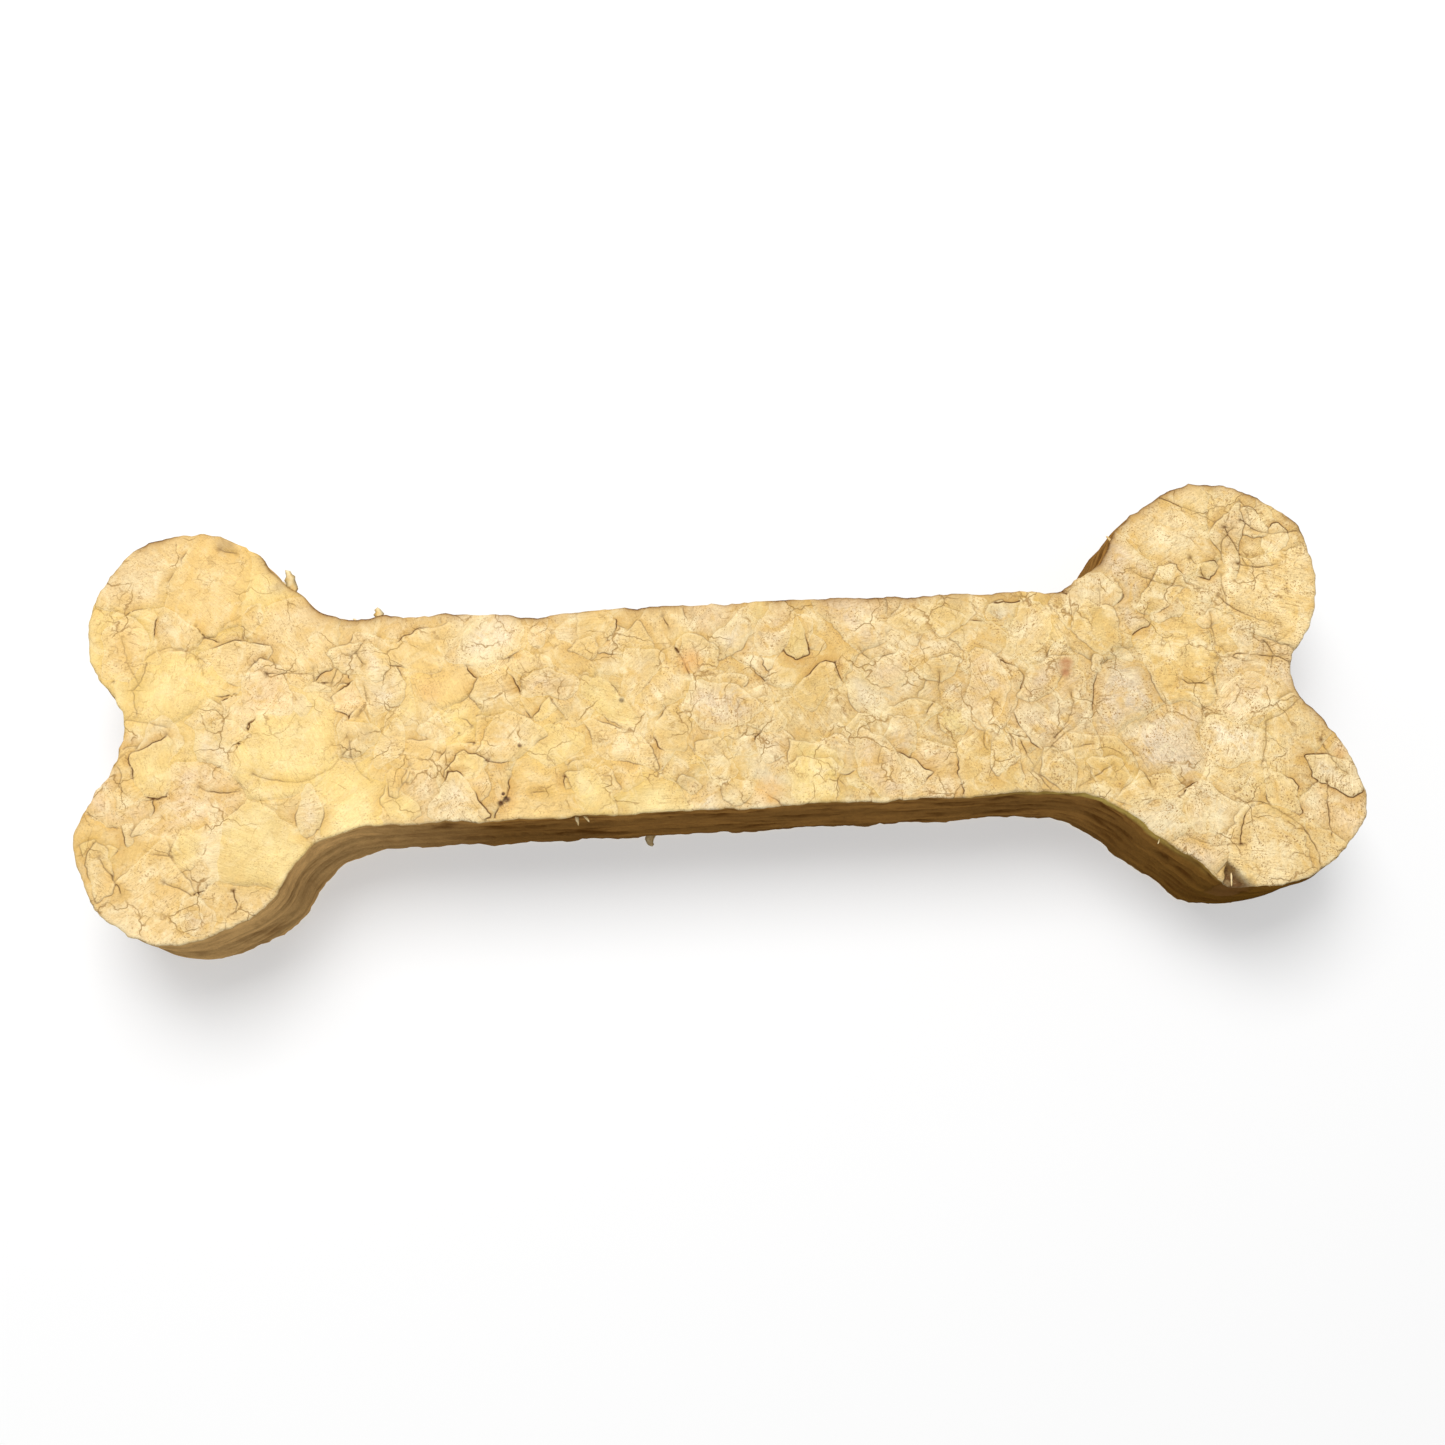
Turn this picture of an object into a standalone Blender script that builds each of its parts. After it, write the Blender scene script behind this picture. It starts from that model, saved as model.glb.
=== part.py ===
"""A bone-shaped dog chew, pressed from flakes of dried hide and lying on its flat underside.

Sizes are in millimetres up to the last step, which scales the finished mesh to metres. The chew
lies along X, was pressed along Z and rests at Z = 0; left, right, back and front are as seen from
the front (-Y). Each wide face is a sheet of irregular flakes with grooves between them, and the
wall between the two sheets is a stack of uneven layers.
"""

import math
import random
from collections import namedtuple

import bmesh
import bpy
from mathutils import Matrix, Vector, noise
from mathutils.geometry import delaunay_2d_cdt, intersect_line_line_2d

MILLIMETRE = 0.001

# Driving sizes: the pressed thickness, the four lobes and the shaft between them
THICKNESS = 22.0
Lobe = namedtuple("Lobe", "x y radius")
BACK_RIGHT = Lobe(86.2, 18.1, 17.9)
BACK_LEFT = Lobe(-88.6, 17.3, 16.4)
FRONT_LEFT = Lobe(-87.9, -18.8, 16.7)
FRONT_RIGHT = Lobe(87.2, -18.2, 17.8)
SHAFT_BACK_Y = 17.3
SHAFT_FRONT_Y = -18.1
BACK_RIGHT_FILLET = 19.4
BACK_LEFT_FILLET = 18.6
FRONT_LEFT_FILLET = 16.8
FRONT_RIGHT_FILLET = 28.5
RIGHT_NOTCH_RADIUS = 7.2
LEFT_NOTCH_RADIUS = 11.7
ARC_STEP = 0.5
OUTLINE_STEP = 2.5

# Where pressing and drying left the outline fuller or hollower than drawn
Swell = namedtuple("Swell", "x y reach push")
SWELLS = (
    Swell(-31.2, 16.4, 5.0, -0.95),
    Swell(59.0, 17.0, 3.0, -0.90),
    Swell(70.0, 27.0, 4.0, 0.85),
    Swell(76.7, 32.7, 3.0, -0.45),
    Swell(102.7, 27.0, 4.5, 0.90),
    Swell(102.0, -9.8, 4.0, -0.70),
    Swell(105.5, -23.5, 6.0, 1.50),
    Swell(88.6, -35.4, 5.0, -0.50),
    Swell(75.9, -31.1, 3.0, -0.60),
    Swell(69.9, -26.4, 3.0, 0.60),
    Swell(60.8, -19.3, 5.0, -0.60),
    Swell(-73.3, -28.3, 4.0, 0.85),
    Swell(-81.6, -33.6, 4.0, -0.65),
    Swell(-105.0, -17.7, 5.0, 0.55),
    Swell(-96.2, 32.4, 5.0, 0.50),
)

# The flakes that stand out on the upper face; the lift is that of the flake's surface
Flake = namedtuple("Flake", "x y radius lift")
CHIP_LIFT = -2.6
UPPER_FLAKES = (
    Flake(-71.4, -4.5, 8.4, 0.15),
    Flake(-84.3, 23.5, 5.8, 0.0),
    Flake(-91.8, 6.4, 5.8, 0.1),
    Flake(-101.4, 15.5, 5.2, -0.1),
    Flake(-70.1, 14.0, 6.6, 0.1),
    Flake(-97.6, 26.7, 5.6, 0.0),
    Flake(-75.6, 23.1, 4.3, 0.1),
    Flake(-76.6, -21.0, 5.4, 0.0),
    Flake(-92.7, -26.5, 5.9, 0.1),
    Flake(-87.1, -12.3, 5.4, -0.15),
    Flake(-54.0, 13.2, 4.0, 0.1),
    Flake(-56.1, 6.0, 4.3, 0.0),
    Flake(-37.8, 0.7, 2.5, 0.15),
    Flake(77.8, 4.4, 6.9, 0.1),
    Flake(94.5, 15.4, 7.4, 0.15),
    Flake(101.7, -23.7, 4.4, 0.1),
    Flake(87.7, -28.9, 7.0, 0.2),
    Flake(94.6, -12.2, 5.8, 0.0),
    Flake(88.6, 0.9, 5.2, -0.1),
    Flake(80.3, 27.2, 7.5, 0.0),
    Flake(75.2, -11.3, 7.1, -0.4),
    Flake(68.4, -1.3, 5.5, -0.3),
    Flake(55.6, -14.2, 4.7, 0.1),
    Flake(76.4, -28.3, 3.2, 0.0),
    Flake(81.4, -33.4, 1.9, CHIP_LIFT),
)

# A broad flake in the middle of the underside
LOWER_FLAKES = (Flake(0.0, 0.0, 9.0, 0.0),)

# Flakes scattered over the sheets, with their middles this far in from the rim
RIM_MARGIN = 2.8
UPPER_SEED = 11
LOWER_SEED = 29
SMALLEST_FLAKE = 2.6
LARGEST_FLAKE = 6.4
FLAKE_TRIES = 3200
CROWDING = 0.86
UNEVEN_LIFT = 0.22
FIELD_HALF_LENGTH = 114.0
FIELD_HALF_WIDTH = 45.0

# Seams between flakes, which wander from straight lines in broad and in fine bends
SEAM_STEP = 3.0
SHORTEST_SEAM = 1.2
SAME_POINT = 0.0001
SHORTEST_EDGE = 0.6
THINNEST_PIECE = 0.75
BROAD_BEND = 2.4
BROAD_BEND_LENGTH = 11.0
FINE_BEND = 0.9
FINE_BEND_LENGTH = 3.7
OTHER_NOISE = Vector((0.0, 0.0, 31.4))

# Relief of the sheets
GROOVE_HALF_WIDTH = 0.45
NARROWING = 0.7
MIDDLE_GROOVE_DEPTH = 0.55
GROOVE_DEPTH_CHANGE = 0.35
GROOVE_CHANGE_LENGTH = 13.0
UPPER_FACE_DROP = 0.45
STEEPEST_TILT = 0.045
TILT_CHANGE_LENGTH = 7.0

# Rings of the wall: height as a share of the thickness, and how far the ring stands out
Ring = namedtuple("Ring", "share stand")
WALL_RINGS = (Ring(0.74, 0.25), Ring(0.48, 0.05), Ring(0.22, 0.35))
LAYER_ROUGHNESS = 0.35
LAYER_LENGTH = 14.0

HIDE_COLOUR = (0.80, 0.62, 0.36, 1.0)
HIDE_ROUGHNESS = 0.62
SMOOTH_UP_TO = math.radians(24)


def clear_scene():
    """Removes the objects that a new file starts with."""
    for obj in list(bpy.data.objects):
        bpy.data.objects.remove(obj, do_unlink=True)


def shaft_fillet(lobe, edge_y, radius):
    """Centre of the arc that runs from the shaft's straight edge into a lobe."""
    centre_y = edge_y + math.copysign(radius, edge_y)
    reach = math.sqrt((lobe.radius + radius) ** 2 - (centre_y - lobe.y) ** 2)
    return Vector((lobe.x - math.copysign(reach, lobe.x), centre_y))


def notch_fillet(lobe, next_lobe, radius):
    """Centre of the arc in the notch between two lobes that follow counterclockwise."""
    here = Vector((lobe.x, lobe.y))
    step = Vector((next_lobe.x, next_lobe.y)) - here
    to_here = lobe.radius + radius
    to_next = next_lobe.radius + radius
    along = (to_here**2 - to_next**2 + step.length_squared) / (2 * step.length)
    outward = Vector((step.y, -step.x)).normalized()
    return here + step.normalized() * along + outward * math.sqrt(to_here**2 - along**2)


def meeting_point(lobe, arc_centre):
    """Where a lobe's circle touches the arc with the given centre."""
    centre = Vector((lobe.x, lobe.y))
    return centre + (arc_centre - centre).normalized() * lobe.radius


def arc(centre, start, end, turn):
    """Points on an arc from start to end, turning left (+1) or right (-1)."""
    radius = (start - centre).length
    first = math.atan2(start.y - centre.y, start.x - centre.x)
    last = math.atan2(end.y - centre.y, end.x - centre.x)
    sweep = (last - first) * turn % (2 * math.pi)
    count = math.ceil(radius * sweep / ARC_STEP)
    angles = [first + turn * sweep * k / count for k in range(count + 1)]
    return [centre + radius * Vector((math.cos(a), math.sin(a))) for a in angles]


def lobe_arc(lobe, arc_before, arc_after):
    """The rounded edge of a lobe between the arcs that it meets."""
    centre = Vector((lobe.x, lobe.y))
    return arc(centre, meeting_point(lobe, arc_before), meeting_point(lobe, arc_after), 1)


def drawn_outline():
    """The bone as arcs and straight edges, counterclockwise from the notch at the right end."""
    right_notch = notch_fillet(FRONT_RIGHT, BACK_RIGHT, RIGHT_NOTCH_RADIUS)
    left_notch = notch_fillet(BACK_LEFT, FRONT_LEFT, LEFT_NOTCH_RADIUS)
    back_right = shaft_fillet(BACK_RIGHT, SHAFT_BACK_Y, BACK_RIGHT_FILLET)
    back_left = shaft_fillet(BACK_LEFT, SHAFT_BACK_Y, BACK_LEFT_FILLET)
    front_left = shaft_fillet(FRONT_LEFT, SHAFT_FRONT_Y, FRONT_LEFT_FILLET)
    front_right = shaft_fillet(FRONT_RIGHT, SHAFT_FRONT_Y, FRONT_RIGHT_FILLET)
    points = lobe_arc(BACK_RIGHT, right_notch, back_right)
    points += arc(back_right, points[-1], Vector((back_right.x, SHAFT_BACK_Y)), -1)
    shaft_end = Vector((back_left.x, SHAFT_BACK_Y))
    points += arc(back_left, shaft_end, meeting_point(BACK_LEFT, back_left), -1)
    points += lobe_arc(BACK_LEFT, back_left, left_notch)
    points += arc(left_notch, points[-1], meeting_point(FRONT_LEFT, left_notch), -1)
    points += lobe_arc(FRONT_LEFT, left_notch, front_left)
    points += arc(front_left, points[-1], Vector((front_left.x, SHAFT_FRONT_Y)), -1)
    shaft_end = Vector((front_right.x, SHAFT_FRONT_Y))
    points += arc(front_right, shaft_end, meeting_point(FRONT_RIGHT, front_right), -1)
    points += lobe_arc(FRONT_RIGHT, front_right, right_notch)
    points += arc(right_notch, points[-1], meeting_point(BACK_RIGHT, right_notch), -1)
    return points


def evenly_spaced(points, step):
    """Points at equal distances, close to the step, along a closed line."""
    ends = points[1:] + points[:1]
    lengths = [(end - start).length for start, end in zip(points, ends)]
    count = round(sum(lengths) / step)
    spacing = sum(lengths) / count
    walked = 0.0
    placed = []
    for start, end, length in zip(points, ends, lengths):
        while len(placed) < count and spacing * len(placed) < walked + length:
            placed.append(start.lerp(end, (spacing * len(placed) - walked) / length))
        walked += length
    return placed


def outward_directions(points):
    """The outward direction at each point of a counterclockwise line."""
    sides = zip(points[-1:] + points[:-1], points[1:] + points[:1])
    return [Vector((after.y - before.y, before.x - after.x)).normalized() for before, after in sides]


def swelling(point):
    """How far the real outline stands out from the drawn one near a point."""
    total = 0.0
    for swell in SWELLS:
        away = math.hypot(point.x - swell.x, point.y - swell.y) / swell.reach
        total += swell.push * math.exp(-(away**2))
    return total


def bone_outline():
    """The chew's uneven outline, and the outward direction at each of its points."""
    drawn = evenly_spaced(drawn_outline(), OUTLINE_STEP)
    outward = outward_directions(drawn)
    return [point + out * swelling(point) for point, out in zip(drawn, outward)], outward


def is_inside(x, y, outline):
    """Whether a place is inside a closed line: it crosses the line an odd number of times going right."""
    crossings = 0
    for start, end in zip(outline, outline[1:] + outline[:1]):
        if (start.y > y) != (end.y > y):
            crossings += x < start.x + (end.x - start.x) * (y - start.y) / (end.y - start.y)
    return crossings % 2 == 1


def scatter_flakes(seed, chosen, field):
    """The chosen flakes, then random ones from large to small wherever the field has room."""
    rng = random.Random(seed)
    flakes = list(chosen)
    for attempt in range(FLAKE_TRIES):
        radius = LARGEST_FLAKE + (SMALLEST_FLAKE - LARGEST_FLAKE) * attempt / FLAKE_TRIES
        x = rng.uniform(-FIELD_HALF_LENGTH, FIELD_HALF_LENGTH)
        y = rng.uniform(-FIELD_HALF_WIDTH, FIELD_HALF_WIDTH)
        lift = rng.uniform(-UNEVEN_LIFT, UNEVEN_LIFT)
        roomy = all(math.hypot(x - f.x, y - f.y) > CROWDING * (radius + f.radius) for f in flakes)
        if roomy and is_inside(x, y, field):
            flakes.append(Flake(x, y, radius, lift))
    return flakes


def clipped(polygon, direction, limit):
    """The part of a convex polygon whose points reach no further than the limit in a direction."""
    kept = []
    for start, end in zip(polygon, polygon[1:] + polygon[:1]):
        start_over = start.dot(direction) - limit
        end_over = end.dot(direction) - limit
        if start_over <= 0:
            kept.append(start)
        if start_over * end_over < 0:
            kept.append(start.lerp(end, start_over / (start_over - end_over)))
    return kept


def straight_cell(flake, flakes):
    """The convex ground that a flake holds: the larger it is, the more it takes from its neighbours."""
    here = Vector((flake.x, flake.y))
    corners = ((-1, -1), (1, -1), (1, 1), (-1, 1))
    cell = [Vector((x * FIELD_HALF_LENGTH, y * FIELD_HALF_WIDTH)) for x, y in corners]
    for other in flakes:
        if other is not flake:
            towards = Vector((other.x, other.y)) - here
            share = (towards.length_squared + flake.radius**2 - other.radius**2) / 2
            cell = clipped(cell, towards, here.dot(towards) + share)
    return cell


def smooth_pair(point, length):
    """Two values from -1 to 1 that change smoothly over the ground, within about the given length."""
    place = Vector((point.x, point.y, 0.0)) / length
    return Vector((noise.noise(place), noise.noise(place + OTHER_NOISE)))


def wandered(point):
    """A seam's point moved a little, by one rule for all the flakes that meet there."""
    broad = BROAD_BEND * smooth_pair(point, BROAD_BEND_LENGTH)
    return point + broad + FINE_BEND * smooth_pair(point, FINE_BEND_LENGTH)


def seam_net(flakes):
    """The points of all the seams, and the loop of points round each flake.

    Corners that nearly meet are made one, so that no seam is very short, and a seam's points are
    made once for the two flakes that share it.
    """
    points = []
    corners = {}
    seams = {}

    def corner_number(place):
        close = [n for n, corner in corners.items() if (corner - place).length < SHORTEST_SEAM]
        near = close[0] if close else None
        if near is None:
            near = len(points)
            corners[near] = place
            points.append(wandered(place))
        return near

    def seam_between(start, end):
        if (start, end) not in seams:
            length = (corners[end] - corners[start]).length
            count = max(1, round(length / SEAM_STEP))
            first = len(points)
            for k in range(1, count):
                points.append(wandered(corners[start].lerp(corners[end], k / count)))
            seams[start, end] = list(range(first, len(points)))
            seams[end, start] = seams[start, end][::-1]
        return seams[start, end]

    loops = []
    for flake in flakes:
        numbers = [corner_number(place) for place in straight_cell(flake, flakes)]
        loop = []
        for start, end in zip(numbers, numbers[1:] + numbers[:1]):
            if start != end:
                loop += [start, *seam_between(start, end)]
        loops.append(loop)
    return points, loops


def lay_sheet(mesh, outline, flakes):
    """A flat sheet inside the outline, with one many-sided face for each flake.

    Returns each face with its flake, and the sheet's points that lie on the outline's points.
    """
    net, loops = seam_net(flakes)
    first = len(outline)
    shapes = [list(range(first))] + [[first + number for number in loop] for loop in loops]
    placed, _, triangles, origins, _, owners = delaunay_2d_cdt(outline + net, [], shapes, 1, SAME_POINT)
    kept = [(max(inside), corners) for corners, inside in zip(triangles, owners) if 0 in inside]
    used = sorted({index for _, corners in kept for index in corners})
    verts = {index: mesh.verts.new((*placed[index], 0.0)) for index in used}
    rim = {min(origins[index]): vert for index, vert in verts.items() if origins[index]}
    earlier = set(mesh.faces)
    number = mesh.faces.layers.int.get("flake") or mesh.faces.layers.int.new("flake")
    pieces = {}
    for shape, corners in kept:
        face = mesh.faces.new([verts[index] for index in corners])
        face[number] = shape - 1
        pieces.setdefault(shape, []).append(face)
    for members in pieces.values():
        bmesh.ops.dissolve_faces(mesh, faces=members)
    rim_points = [rim[index] for index in range(first)]
    close_short_edges(mesh, [face for face in mesh.faces if face not in earlier], rim_points)
    absorb_slivers([face for face in mesh.faces if face not in earlier], number)
    return [(face, flakes[face[number]]) for face in mesh.faces if face not in earlier], rim_points


def close_short_edges(mesh, faces, rim_points):
    """Draws the two ends of each very short edge together, onto the rim where one end is there."""
    fixed = set(rim_points)
    edges = {edge for face in faces for edge in face.edges}
    while True:
        short = next((e for e in edges if e.is_valid and e.calc_length() < SHORTEST_EDGE), None)
        if short is None:
            return
        drop, keep = sorted(short.verts, key=lambda vert: (vert in fixed, vert.is_boundary))
        bmesh.ops.weld_verts(mesh, targetmap={drop: keep})


def absorb_slivers(faces, number):
    """Joins each piece too thin for grooves along its edges to the flake that it borders on most."""
    for face in faces:
        if face.is_valid and face.calc_area() / face.calc_perimeter() < THINNEST_PIECE:
            borders = {}
            for edge in face.edges:
                for other in edge.link_faces:
                    borders[other] = borders.get(other, 0.0) + edge.calc_length()
            del borders[face]
            host = max(borders, key=borders.get)
            flake = host[number]
            bmesh.utils.face_join((host, face))[number] = flake


def tilt_of(flake):
    """The slope of a flake's surface along X and Y."""
    return STEEPEST_TILT * smooth_pair(flake, TILT_CHANGE_LENGTH)


def upper_level(flake, point):
    """The height of a flake of the upper face at a point."""
    away = Vector((point.x - flake.x, point.y - flake.y))
    return THICKNESS - UPPER_FACE_DROP + flake.lift + tilt_of(flake).dot(away)


def lower_level(_flake, _point):
    """The underside was pressed flat, so all its flakes lie at height 0."""
    return 0.0


def groove_depth(point):
    """How deep the groove between two flakes is at a point."""
    change = noise.noise(Vector((point.x, point.y, 0.0)) / GROOVE_CHANGE_LENGTH)
    return MIDDLE_GROOVE_DEPTH + GROOVE_DEPTH_CHANGE * change


def is_clear(inner, outer):
    """Whether the edges of an inner loop cross neither each other nor the loop outside them."""
    edges = list(zip(inner, inner[1:] + inner[:1]))
    others = edges + list(zip(outer, outer[1:] + outer[:1]))
    for start, end in edges:
        for other_start, other_end in others:
            apart = len({id(point) for point in (start, end, other_start, other_end)}) == 4
            if apart and intersect_line_line_2d(start, end, other_start, other_end):
                return False
    return True


def groove_half_width(face):
    """The usual half width of a groove, or less where a flake has a narrow part."""
    outer = [vert.co.xy for vert in face.verts]
    width = GROOVE_HALF_WIDTH
    while not is_clear([(loop.vert.co + loop.calc_tangent() * width).xy for loop in face.loops], outer):
        width *= NARROWING
    return width


def emboss(mesh, faces, level, side):
    """Raises the flakes of a sheet to their level and sinks grooves between them.

    The side is +1 for the upper sheet and -1 for the lower one.
    """
    flake_at = {face: flake for face, flake in faces}
    seams = {vert: [flake_at[face] for face in vert.link_faces] for face in flake_at for vert in face.verts}
    for face, flake in faces:
        bmesh.ops.inset_individual(mesh, faces=[face], thickness=groove_half_width(face))
        for vert in face.verts:
            vert.co.z = level(flake, vert.co)
    for vert, meeting in seams.items():
        middle = sum(level(flake, vert.co) for flake in meeting) / len(meeting)
        vert.co.z = middle - side * groove_depth(vert.co)


def rim_stretches(sheet_points):
    """The points along a sheet's rim from each outline point to the next, both included."""
    following = {}
    for start in sheet_points:
        here = start
        while here not in following:
            loops = [edge.link_loops[0] for edge in here.link_edges if edge.is_boundary]
            leaving = next(loop for loop in loops if loop.vert is here)
            following[here] = leaving.link_loop_next.vert
            here = following[here]
    stretches = []
    for start, end in zip(sheet_points, sheet_points[1:] + sheet_points[:1]):
        stretch = [start]
        while stretch[-1] is not end:
            stretch.append(following[stretch[-1]])
        stretches.append(stretch)
    return stretches


def wall_ring(mesh, outline, outward, ring):
    """One ring of the wall, whose layers stand out unevenly."""
    verts = []
    for point, out in zip(outline, outward):
        place = Vector((point.x, point.y, ring.share * THICKNESS)) / LAYER_LENGTH
        across = point + out * (ring.stand + LAYER_ROUGHNESS * noise.noise(place))
        height = ring.share * THICKNESS + LAYER_ROUGHNESS * noise.noise(-place)
        verts.append(mesh.verts.new((*across, height)))
    return verts


def join_rings(mesh, upper, lower):
    """Four-sided faces between two rings of the wall."""
    for k in range(len(upper)):
        mesh.faces.new((upper[k - 1], lower[k - 1], lower[k], upper[k]))


def join_sheet(mesh, stretches, ring, side):
    """Faces between a sheet's rim, which also has its seams' ends, and a ring of the wall."""
    for k, stretch in enumerate(stretches):
        corners = [*stretch, ring[(k + 1) % len(ring)], ring[k]]
        mesh.faces.new(corners[::-side])


def box_middle(mesh):
    """The middle of the mesh's box along X and Y."""
    xs = [vert.co.x for vert in mesh.verts]
    ys = [vert.co.y for vert in mesh.verts]
    return Vector((min(xs) + max(xs), min(ys) + max(ys), 0.0)) / 2


def build_chew():
    """The whole chew as one closed mesh, in metres."""
    outline, outward = bone_outline()
    field = [point - out * RIM_MARGIN for point, out in zip(outline, outward)]
    mesh = bmesh.new()
    upper, upper_rim = lay_sheet(mesh, outline, scatter_flakes(UPPER_SEED, UPPER_FLAKES, field))
    emboss(mesh, upper, upper_level, 1)
    upper_stretches = rim_stretches(upper_rim)
    lower, lower_rim = lay_sheet(mesh, outline, scatter_flakes(LOWER_SEED, LOWER_FLAKES, field))
    emboss(mesh, lower, lower_level, -1)
    lower_stretches = rim_stretches(lower_rim)
    rings = [wall_ring(mesh, outline, outward, ring) for ring in WALL_RINGS]
    for higher, next_lower in zip(rings, rings[1:]):
        join_rings(mesh, higher, next_lower)
    join_sheet(mesh, upper_stretches, rings[0], 1)
    join_sheet(mesh, lower_stretches, rings[-1], -1)
    bmesh.ops.triangulate(mesh, faces=mesh.faces)
    bmesh.ops.recalc_face_normals(mesh, faces=mesh.faces)
    bmesh.ops.translate(mesh, verts=mesh.verts, vec=-box_middle(mesh))
    mesh.transform(Matrix.Scale(MILLIMETRE, 4))
    data = bpy.data.meshes.new("chew")
    mesh.to_mesh(data)
    mesh.free()
    return data


def hide_material():
    """Dried hide: pale yellow and slightly glossy."""
    material = bpy.data.materials.new("pressed_hide")
    material.use_nodes = True
    shader = material.node_tree.nodes["Principled BSDF"]
    shader.inputs["Base Color"].default_value = HIDE_COLOUR
    shader.inputs["Roughness"].default_value = HIDE_ROUGHNESS
    shader.inputs["Metallic"].default_value = 0.0
    return material


def main():
    clear_scene()
    parts = bpy.data.collections.new("collagen_dog_chew")
    bpy.context.scene.collection.children.link(parts)
    data = build_chew()
    data.materials.append(hide_material())
    data.shade_smooth()
    data.set_sharp_from_angle(angle=SMOOTH_UP_TO)
    parts.objects.link(bpy.data.objects.new("chew", data))


main()
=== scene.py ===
"""Looks of a bone-shaped dog chew, pressed from flakes of dried hide.

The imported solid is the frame. One dense mesh stands for it: pale flakes with thin brown seams on the
two wide faces, and a browner wall of pressed layers. Sizes are in millimetres until a mesh is made.
The chew lies along X, was pressed along Z and rests at Z = 0; the front is -Y.
"""

import math
import random
from collections import namedtuple

import bpy
import numpy as np
from mathutils import Euler, Matrix, Vector, noise
from mathutils.geometry import delaunay_2d_cdt
from mathutils.kdtree import KDTree

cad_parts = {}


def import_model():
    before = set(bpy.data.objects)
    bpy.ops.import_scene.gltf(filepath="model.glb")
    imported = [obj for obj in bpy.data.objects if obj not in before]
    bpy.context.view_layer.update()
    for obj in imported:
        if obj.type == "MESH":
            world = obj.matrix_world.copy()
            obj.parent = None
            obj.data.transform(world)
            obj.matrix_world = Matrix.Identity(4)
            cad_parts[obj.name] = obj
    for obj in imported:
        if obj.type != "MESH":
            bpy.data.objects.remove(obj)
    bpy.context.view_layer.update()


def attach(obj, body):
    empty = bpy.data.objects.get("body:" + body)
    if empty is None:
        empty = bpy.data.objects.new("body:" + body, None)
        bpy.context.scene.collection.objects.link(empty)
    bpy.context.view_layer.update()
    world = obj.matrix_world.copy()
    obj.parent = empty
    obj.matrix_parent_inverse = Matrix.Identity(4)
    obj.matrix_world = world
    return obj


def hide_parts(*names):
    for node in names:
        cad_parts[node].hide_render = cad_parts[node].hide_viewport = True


MILLIMETRE = 0.001

# The drawing of the bone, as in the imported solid
THICKNESS = 22.0
Lobe = namedtuple("Lobe", "x y radius fillet")
BACK_RIGHT = Lobe(86.2, 18.1, 17.9, 19.4)
BACK_LEFT = Lobe(-88.6, 17.3, 16.4, 18.6)
FRONT_LEFT = Lobe(-87.9, -18.8, 16.7, 16.8)
FRONT_RIGHT = Lobe(87.2, -18.2, 17.8, 28.5)
SHAFT_BACK_Y = 17.3
SHAFT_FRONT_Y = -18.1
RIGHT_NOTCH_RADIUS = 7.2
LEFT_NOTCH_RADIUS = 11.7
ARC_STEP = 0.5
OUTLINE_STEP = 2.5
MIDDLE = Vector((0.406, 0.187))

Swell = namedtuple("Swell", "x y reach push")
SWELLS = (
    Swell(-31.2, 16.4, 5.0, -0.95),
    Swell(59.0, 17.0, 3.0, -0.90),
    Swell(70.0, 27.0, 4.0, 0.85),
    Swell(76.7, 32.7, 3.0, -0.45),
    Swell(102.7, 27.0, 4.5, 0.90),
    Swell(102.0, -9.8, 4.0, -0.70),
    Swell(105.5, -23.5, 6.0, 1.50),
    Swell(88.6, -35.4, 5.0, -0.50),
    Swell(75.9, -31.1, 3.0, -0.60),
    Swell(69.9, -26.4, 3.0, 0.60),
    Swell(60.8, -19.3, 5.0, -0.60),
    Swell(-73.3, -28.3, 4.0, 0.85),
    Swell(-81.6, -33.6, 4.0, -0.65),
    Swell(-105.0, -17.7, 5.0, 0.55),
    Swell(-96.2, 32.4, 5.0, 0.50),
)

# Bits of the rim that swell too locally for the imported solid
SMALL_SWELLS = (
    Swell(-70.0, 23.0, 3.2, 1.0),
    Swell(-56.5, 17.6, 2.0, 0.6),
    Swell(-84.5, 33.6, 2.6, 0.35),
    Swell(-46.0, 17.4, 4.0, 0.45),
    Swell(-22.0, 17.4, 3.5, -0.35),
    Swell(68.5, 24.6, 2.2, 0.5),
)

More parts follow.
